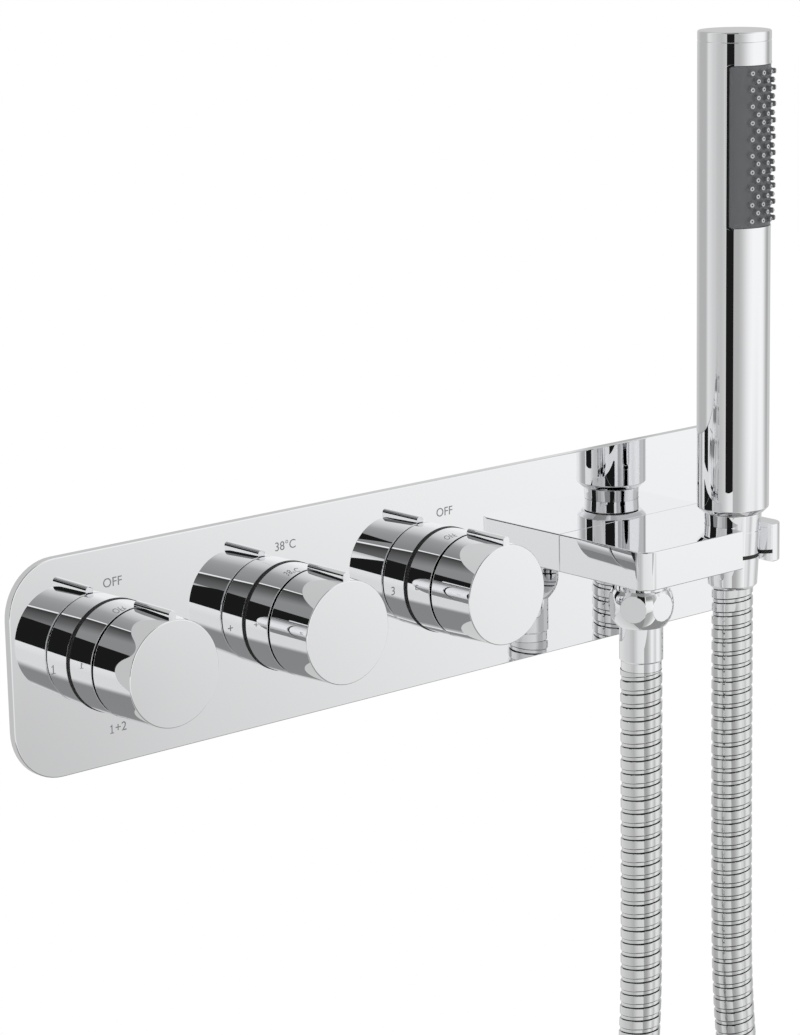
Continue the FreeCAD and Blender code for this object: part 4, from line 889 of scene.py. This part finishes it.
class SHOWER_OT_fittings(bpy.types.Operator):
    """Make the ball-shaped hose nut, the ferrule and the conical nut"""

    bl_idname = "shower.fittings"
    bl_label = "Hose fittings"

    def execute(self, context):
        sizes = context.scene.shower_valve.fitting
        look = finishes()
        self.ball_nut(sizes, look)
        self.ferrule(sizes, look)
        self.conical_nut(sizes, look)
        return {"FINISHED"}

    def ball_nut(self, sizes, look):
        low, high = box("hose_nut")
        place = middle("hose_nut")
        centre_height, thread_radius, hole_radius = 0.0086, 0.0104, 0.0088
        thread_start, hole_end = 0.0040, 0.0045
        centre = low.z + centre_height
        bm = bmesh.new()
        bmesh.ops.create_uvsphere(bm, u_segments=144, v_segments=72, radius=sizes.ball_radius)
        up = Vector((0, 0, 1))
        planes = [(up * (high.z - centre), up), (up * (low.z - centre), -up)]
        for k in range(6):
            turn = math.radians(60 * k + 30)
            normal = Vector((math.cos(turn), math.sin(turn), 0))
            planes.append((normal * sizes.ball_flat, normal))
        for spot, normal in planes:
            cut_off(bm, spot, normal)
            bmesh.ops.edgeloop_fill(bm, edges=[e for e in bm.edges if e.is_boundary])
        bmesh.ops.recalc_face_normals(bm, faces=bm.faces)
        moved(bm, upright(place.x, place.y, centre))
        thread = rod(thread_radius, low.z + thread_start, high.z + PAST, 96)
        hole = rod(hole_radius, low.z - PAST, low.z + hole_end, 96)
        cutters = [mesh_of(moved(cutter, upright(place.x, place.y)), "cutter") for cutter in (thread, hole)]
        mesh = carved(mesh_of(bm, "hose_nut"), cutters)
        fitted("hose_nut_ball", mesh, "valve", look, ["hose_nut"], 25)

    def ferrule(self, sizes, look):
        low, high = box("hose_ferrule")
        place = middle("hose_ferrule")
        bore, neck_radius, chamfer, rim = 0.0055, 0.0102, 0.0007, 0.00015
        neck = box("hose_nut")[0].z + 0.0040
        collar = low.z + 0.0035
        points = [
            (bore, low.z), (sizes.collar_radius, low.z), (sizes.collar_radius, collar),
            (sizes.ferrule_radius - chamfer, collar), (sizes.ferrule_radius, collar + chamfer),
            (sizes.ferrule_radius, neck), (neck_radius, neck), (neck_radius, high.z), (bore, high.z),
        ]
        bm = moved(soften(lathe(points), rim, 2), upright(place.x, place.y))
        fitted("hose_ferrule_turned", mesh_of(bm, "ferrule"), "valve", look, ["hose_ferrule"])

    def conical_nut(self, sizes, look):
        low, high = box("conical_nut")
        place = middle("conical_nut")
        band_low, band_high = (corner.z for corner in box("conical_nut_band"))
        chamfer, band_depth, bore, socket, socket_floor = 0.0014, 0.0008, 0.00855, 0.01041, -0.0015
        seam, seam_half, seam_depth, seam_edge = sizes.seam_level, 0.00012, 0.0003, 0.00002

        def radius(height):
            share = (height - low.z - chamfer) / (high.z - low.z - chamfer)
            return sizes.cone_bottom_radius + share * (sizes.cone_top_radius - sizes.cone_bottom_radius)

        band_root = radius(band_low) - band_depth
        points = [
            (bore, low.z), (sizes.cone_bottom_radius - chamfer, low.z),
            (sizes.cone_bottom_radius, low.z + chamfer), (radius(band_low), band_low),
            (band_root, band_low), (band_root, band_high), (radius(band_high), band_high),
            (radius(seam) - seam_edge, seam - seam_half), (radius(seam) - seam_depth, seam - seam_half),
            (radius(seam) - seam_depth, seam + seam_half), (radius(seam) - seam_edge, seam + seam_half),
            (sizes.cone_top_radius, high.z), (socket, high.z), (socket, socket_floor), (bore, socket_floor),
        ]
        bm = lathe(points)
        soften(bm, 0.0003, 3, lambda e: min(v.co.z for v in e.verts) > high.z - NEAR)
        moved(bm, upright(place.x, place.y))
        fitted("conical_nut_turned", mesh_of(bm, "conical_nut"), "hose_end", look, ["conical_nut"])
        band = lathe([
            (band_root, band_low), (radius(band_low), band_low),
            (radius(band_high), band_high), (band_root, band_high),
        ])
        moved(soften(band, 0.00015, 2), upright(place.x, place.y))
        mesh = mesh_of(band, "band")
        fitted("conical_nut_gasket", mesh, "hose_end", look, ["conical_nut_band"], slot="black_rubber")


class SHOWER_OT_knobs(bpy.types.Operator):
    """Make the trim rings, the fixed sleeves, the handles and their pointer tabs"""

    bl_idname = "shower.knobs"
    bl_label = "Knobs"

    def execute(self, context):
        sizes = context.scene.shower_valve.knob
        look = finishes()
        plate = box("wall_plate")[0].y
        for name in KNOBS:
            place = outward(middle(f"{name}_handle").x, plate)
            self.trim(name, sizes, place, look)
            self.sleeve(name, sizes, place, look)
            self.handle(name, sizes, place, look)
            self.tab(name, sizes, place, look)
        return {"FINISHED"}

    def trim(self, name, sizes, place, look):
        inner, rim = 0.0172, 0.0002
        bm = moved(soften(ring(inner, sizes.trim_radius, 0, sizes.trim_thickness), rim, 2), place)
        fitted(f"{name}_ring", mesh_of(bm, "trim"), "valve", look, [f"{name}_trim_ring"], slot="black_rubber")

    def sleeve(self, name, sizes, place, look):
        inner, hole, hollow, face, ledge = 0.01655, 0.008, 0.01855, 0.0018, 0.007
        back, front = sizes.trim_thickness, sizes.sleeve_end
        points = [
            (inner, back), (sizes.sleeve_back_radius, back), (sizes.sleeve_front_radius, front),
            (hole, front), (hole, front - face), (hollow, front - face), (hollow, ledge), (inner, ledge),
        ]
        bm = lathe(points, 160)
        outside = sizes.sleeve_front_radius - 1e-4
        soften(bm, sizes.rim / 2, 3, lambda e: e.verts[0].co.xy.length > outside)
        moved(bm, place)
        fitted(f"{name}_sleeve_turned", mesh_of(bm, "sleeve"), "valve", look, [f"{name}_sleeve"])

    def handle(self, name, sizes, place, look):
        boss, wall, bore = 0.008, sizes.handle_back_radius - 0.004, 0.00455
        hollow, socket = 0.011, 0.00255
        back, front = sizes.handle_start, sizes.handle_end
        points = [
            (bore, back), (boss, back), (boss, back + hollow), (wall, back + hollow), (wall, back),
            (sizes.handle_back_radius, back), (sizes.handle_front_radius, front), (0, front),
            (0, front - socket), (bore, front - socket),
        ]
        bm = lathe(points, 192)
        outside = sizes.handle_front_radius - 1e-4
        soften(bm, sizes.rim, 4, lambda e: e.verts[0].co.xy.length > outside)
        moved(bm, place)
        fitted(f"{name}_handle_turned", mesh_of(bm, "handle"), f"{name}_knob", look, [f"{name}_handle"])

    def tab(self, name, sizes, place, look):
        """A half-round bar along the handle, from the groove to the face."""
        half = sizes.tab_width / 2
        face = sizes.handle_end - 3e-5
        bm = slab((-half, sizes.tab_low, sizes.handle_start), (half, sizes.tab_high, face))
        top, foot = sizes.tab_high - NEAR, sizes.tab_low + 0.001
        soften(bm, half * 0.94, 8, lambda e: min(v.co.y for v in e.verts) > top and runs(e, 2))
        soften(bm, 0.00018, 2, lambda e: max(v.co.y for v in e.verts) > foot, 40)
        moved(bm, place)
        fitted(f"{name}_pointer", mesh_of(bm, "tab"), f"{name}_knob", look, [f"{name}_tab"])


class SHOWER_OT_shelf(bpy.types.Operator):
    """Make the outlet shelf with its rounded corners and the handset's holder"""

    bl_idname = "shower.shelf"
    bl_label = "Outlet shelf"

    def execute(self, context):
        sizes = context.scene.shower_valve.shelf
        look = finishes()
        low, high = box("outlet_shelf")
        bm = slab(low, high)

        def front_corner(edge):
            return runs(edge, 2) and max(v.co.y for v in edge.verts) < low.y + NEAR

        def front_rim(edge):
            first, second = edge.verts
            return abs(first.co.z - second.co.z) < 1e-6 and min(first.co.y, second.co.y) < high.y - NEAR

        soften(bm, sizes.corner, 16, front_corner)
        soften(bm, sizes.rim, 3, front_rim)
        soften(bm, sizes.joint, 3, lambda e: min(v.co.y for v in e.verts) > high.y - NEAR)
        holder = middle("conical_nut")
        outlet = middle("outlet_nipple")
        half, beyond = sizes.mouth / 2, 0.01
        slot = slab(
            (holder.x - half, low.y - beyond, low.z - beyond), (holder.x + half, holder.y, high.z + beyond),
        )
        slope = (sizes.seat_top - sizes.seat_bottom) / (high.z - low.z)
        bottom, top = low.z - PAST, high.z + PAST
        seat = lathe([
            (0, bottom), (sizes.seat_bottom - slope * PAST, bottom),
            (sizes.seat_top + slope * PAST, top), (0, top),
        ], 128, False)
        moved(seat, upright(holder.x, holder.y))
        nipple_radius, nipple_depth, feed_radius, feed_depth = 0.00805, 0.0056, 0.00655, 0.01005
        nipple = moved(rod(nipple_radius, bottom, low.z + nipple_depth, 64), upright(outlet.x, outlet.y))
        feed = moved(rod(feed_radius, -PAST, feed_depth, 64), outward(outlet.x, high.y))
        cutters = [mesh_of(cutter, "cutter") for cutter in (slot, seat, nipple, feed)]
        mesh = carved(mesh_of(bm, "shelf"), cutters)
        fitted("shelf_with_holder", mesh, "valve", look, ["outlet_shelf"], 30)
        return {"FINISHED"}


class SHOWER_OT_handset(bpy.types.Operator):
    """Make the handset's tube, its cap and the spray insert with its nozzles"""

    bl_idname = "shower.handset"
    bl_label = "Handset"

    def execute(self, context):
        sizes = context.scene.shower_valve.handset
        look = finishes()
        place = middle("handset_body")
        turn = Matrix.Rotation(sizes.turn - math.pi / 2, 4, "Z")
        self.turn = upright(place.x, place.y) @ turn
        low, high = box("spray_insert")
        self.spray_low, self.spray_high = low.z, high.z
        self.half = sizes.radius * math.sin(math.radians(63))
        self.tube(sizes, look)
        self.cap(sizes, look)
        self.bezel(sizes, look)
        self.insert(sizes, look)
        return {"FINISHED"}

    def window(self, sizes, margin):
        """A rounded rectangle pushed out along +X through the handset's side."""
        low, high = self.spray_low - margin, self.spray_high + margin
        half = self.half + margin
        start, end = 0.002, 0.03
        bm = slab((start, -half, low), (end, half, high))
        soften(bm, sizes.corner + margin, 10, lambda e: runs(e, 0))
        return mesh_of(bm, "window")

    def shell(self, inner, outer):
        """A ring that reaches past the spray insert at both ends."""
        beyond = 0.01
        return mesh_of(ring(inner, outer, self.spray_low - beyond, self.spray_high + beyond, 192), "shell")

    def tube(self, sizes, look):
        low, high = box("handset_body")
        wall, hole, base, chamfer = 0.0019, 0.0104, 0.004, 0.002
        inner, floor = sizes.radius - wall, low.z + base
        points = [
            (hole, low.z), (sizes.radius - chamfer, low.z), (sizes.radius, low.z + chamfer),
            (sizes.radius, high.z), (inner, high.z), (inner, floor), (hole, floor),
        ]
        bm = lathe(points, 192)
        soften(bm, 0.0003, 3, lambda e: e.verts[0].co.xy.length > sizes.radius - chamfer - 1e-4)
        mesh = carved(mesh_of(bm, "tube"), [self.window(sizes, 0.0)])
        mesh.transform(self.turn)
        fitted("handset_tube", mesh, "handset", look, ["handset_body"], 30)

    def cap(self, sizes, look):
        low, high = box("handset_cap")
        seat, groove = high.z - 0.004, 0.0003
        plug = sizes.radius - 0.00195
        points = [
            (0, low.z), (plug, low.z), (plug, seat), (sizes.radius - groove, seat),
            (sizes.radius - groove, seat + groove), (sizes.radius, seat + groove),
            (sizes.radius, high.z), (0, high.z),
        ]
        bm = lathe(points, 192)
        soften(bm, 0.0007, 5, lambda e: min(v.co.z for v in e.verts) > high.z - NEAR)
        moved(bm, self.turn)
        fitted("handset_top", mesh_of(bm, "cap"), "handset", look, ["handset_cap"])

    def bezel(self, sizes, look):
        depth, proud, gap = 0.0012, 0.00012, 0.00005
        shell = self.shell(sizes.radius - depth, sizes.radius + proud)
        outer = carved(shell, [self.window(sizes, sizes.bezel)], "INTERSECT")
        bm = bmesh.new()
        bm.from_mesh(carved(outer, [self.window(sizes, gap)]))
        moved(bm, self.turn)
        fitted("spray_lip", mesh_of(bm, "lip"), "handset", look, angle=30)

    def insert(self, sizes, look):
        thickness, sunk, gap, tip = 0.0019, 0.00015, 0.00025, 0.9
        outer = sizes.radius - sunk
        pad = carved(self.shell(outer - thickness, outer), [self.window(sizes, -gap)], "INTERSECT")
        bm = bmesh.new()
        bm.from_mesh(pad)
        dark = len(bm.faces)
        nozzle = self.nozzle(sizes)
        centre = (self.spray_low + self.spray_high) / 2
        lay = Matrix.Rotation(math.pi / 2, 4, "Y")
        for column in range(sizes.columns):
            turn = Matrix.Rotation((column - (sizes.columns - 1) / 2) * sizes.nozzle_angle, 4, "Z")
            rows = sizes.rows - column % 2
            for row in range(rows):
                height = centre + (row - (rows - 1) / 2) * sizes.nozzle_pitch
                stamp(bm, nozzle, turn @ Matrix.Translation((outer, 0, height)) @ lay)
        bm.faces.ensure_lookup_table()
        pale = outer + tip * sizes.nozzle_height
        for face in bm.faces[dark:]:
            face.material_index = int(min(v.co.xy.length for v in face.verts) > pale)
        moved(bm, self.turn)
        mesh = mesh_of(bm, "insert")
        finish = [look["grey_silicone"], look["nozzle"]]
        piece("spray_nozzles", mesh, "handset", finish, ["spray_insert"], 45)

    def nozzle(self, sizes):
        """One soft nozzle on a low ring, open at its tip."""
        root, height = sizes.nozzle_radius, sizes.nozzle_height
        points = [
            (root * 1.25, -0.0001), (root * 1.25, 0.0001), (root, 0.0003), (root * 0.94, height * 0.7),
            (root * 0.78, height * 0.93), (root * 0.55, height), (root * 0.3, height * 0.97),
            (root * 0.26, height * 0.5), (0, height * 0.5),
        ]
        return mesh_of(lathe(points, 16, False), "nozzle")


class SHOWER_OT_marks(bpy.types.Operator):
    """Print the dial marks on the wall plate"""

    bl_idname = "shower.marks"
    bl_label = "Dial marks"

    def execute(self, context):
        marks = {
            "diverter": (("OFF", 90), ("1", 180), ("1+2", 270), ("2", 0)),
            "temperature": (("38°C", 90), ("+", 180), ("−", 0)),
            "handset_flow": (("OFF", 90), ("3", 180)),
        }
        for name in KNOBS:
            for index, (words, angle) in enumerate(marks[name]):
                self.mark(context, f"{name}_mark_{index + 1}", words, name, math.radians(angle))
        return {"FINISHED"}

    def mark(self, context, name, words, knob, angle):
        """Words in the plain built-in letters, after a flagged figure one where they start with it."""
        sizes = context.scene.shower_valve.mark
        thick, advance, cap_height = 0.00004, 0.42, 0.69
        bm = bmesh.new()
        left = 0.0
        if words.startswith("1"):
            self.figure_one(bm, sizes.height, thick)
            left = advance * sizes.height
        rest = words.removeprefix("1")
        if rest:
            text = bpy.data.curves.new(name, "FONT")
            text.body = rest
            text.align_x = "LEFT" if left else "CENTER"
            text.align_y = "CENTER"
            text.size = sizes.height / cap_height
            text.extrude = thick
            text.space_character = 1.02
            holder = linked(name, text)
            letters = evaluated(holder)
            bpy.data.objects.remove(holder)
            stamp(bm, letters, Matrix.Translation((left, 0, 0)))
        across = [v.co.x for v in bm.verts]
        moved(bm, Matrix.Translation((-(min(across) + max(across)) / 2, 0, 0)))
        x = middle(f"{knob}_handle").x + sizes.radius * math.cos(angle)
        moved(bm, outward(x, box("wall_plate")[0].y, sizes.radius * math.sin(angle)))
        piece(name, mesh_of(bm, name), "valve", finishes()["ink"], weighted=False)

    def figure_one(self, bm, height, thick):
        """A figure one with a flag and a foot, as on a plain dial."""
        outline = (
            (-0.24, -0.5), (0.28, -0.5), (0.28, -0.41), (0.08, -0.41), (0.08, 0.5), (0.0, 0.5), (-0.04, 0.41),
            (-0.11, 0.36), (-0.23, 0.34), (-0.23, 0.27), (-0.04, 0.27), (-0.04, -0.41), (-0.24, -0.41),
        )
        face = bm.faces.new([bm.verts.new((x * height, y * height, -thick)) for x, y in outline])
        grown = bmesh.ops.extrude_face_region(bm, geom=[face])
        tops = [v for v in grown["geom"] if isinstance(v, bmesh.types.BMVert)]
        bmesh.ops.translate(bm, verts=tops, vec=(0, 0, 2 * thick))
        bmesh.ops.recalc_face_normals(bm, faces=bm.faces)


class SHOWER_OT_carried_over(bpy.types.Operator):
    """Give every remaining sub-part its finish, smooth where it shows"""

    bl_idname = "shower.carried_over"
    bl_label = "Plate, valve body and inner parts"

    def execute(self, context):
        look = finishes()
        record = frame["record"]
        slots = {entry["node"]: entry["material_slot"] for entry in record["subparts"]}
        bodies = {node: body for body, nodes in record["behaviour"]["bodies"].items() for node in nodes}
        rounder = {
            "valve_body": "body_casting", "outlet_nipple": "nipple_turned", "feed_nipple": "feed_turned",
        }
        for node, name in rounder.items():
            slot = slots[node]
            smooth_copy(node, name, bodies[node], look[slot])
        for node, obj in frame["nodes"].items():
            obj.data.materials.clear()
            obj.data.materials.append(look[slots[node]])
        return {"FINISHED"}


class SHOWER_PT_panel(bpy.types.Panel):
    """Lists the shower valve's building steps"""

    bl_idname = "SHOWER_PT_panel"
    bl_label = "Shower Valve"
    bl_space_type = "VIEW_3D"
    bl_region_type = "UI"
    bl_category = "Shower Valve"

    def draw(self, context):
        for step in STEPS:
            self.layout.operator(step.bl_idname)


SETTINGS = (
    KnobSizes, ShelfSizes, FittingSizes, HoseSizes, HandsetSizes, MarkSizes, ValveColours, StudioSettings,
    ValveSettings,
)
STEPS = (
    SHOWER_OT_studio, SHOWER_OT_fittings, SHOWER_OT_hose, SHOWER_OT_knobs, SHOWER_OT_shelf,
    SHOWER_OT_handset, SHOWER_OT_marks, SHOWER_OT_carried_over,
)


def register():
    for cls in SETTINGS + STEPS + (SHOWER_PT_panel,):
        bpy.utils.register_class(cls)
    bpy.types.Scene.shower_valve = PointerProperty(type=ValveSettings)


def unregister():
    del bpy.types.Scene.shower_valve
    for cls in reversed(SETTINGS + STEPS + (SHOWER_PT_panel,)):
        bpy.utils.unregister_class(cls)


def main():
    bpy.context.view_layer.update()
    register()
    for step in STEPS:
        group, name = step.bl_idname.split(".")
        getattr(getattr(bpy.ops, group), name)()


if __name__ == "__main__":
    main()
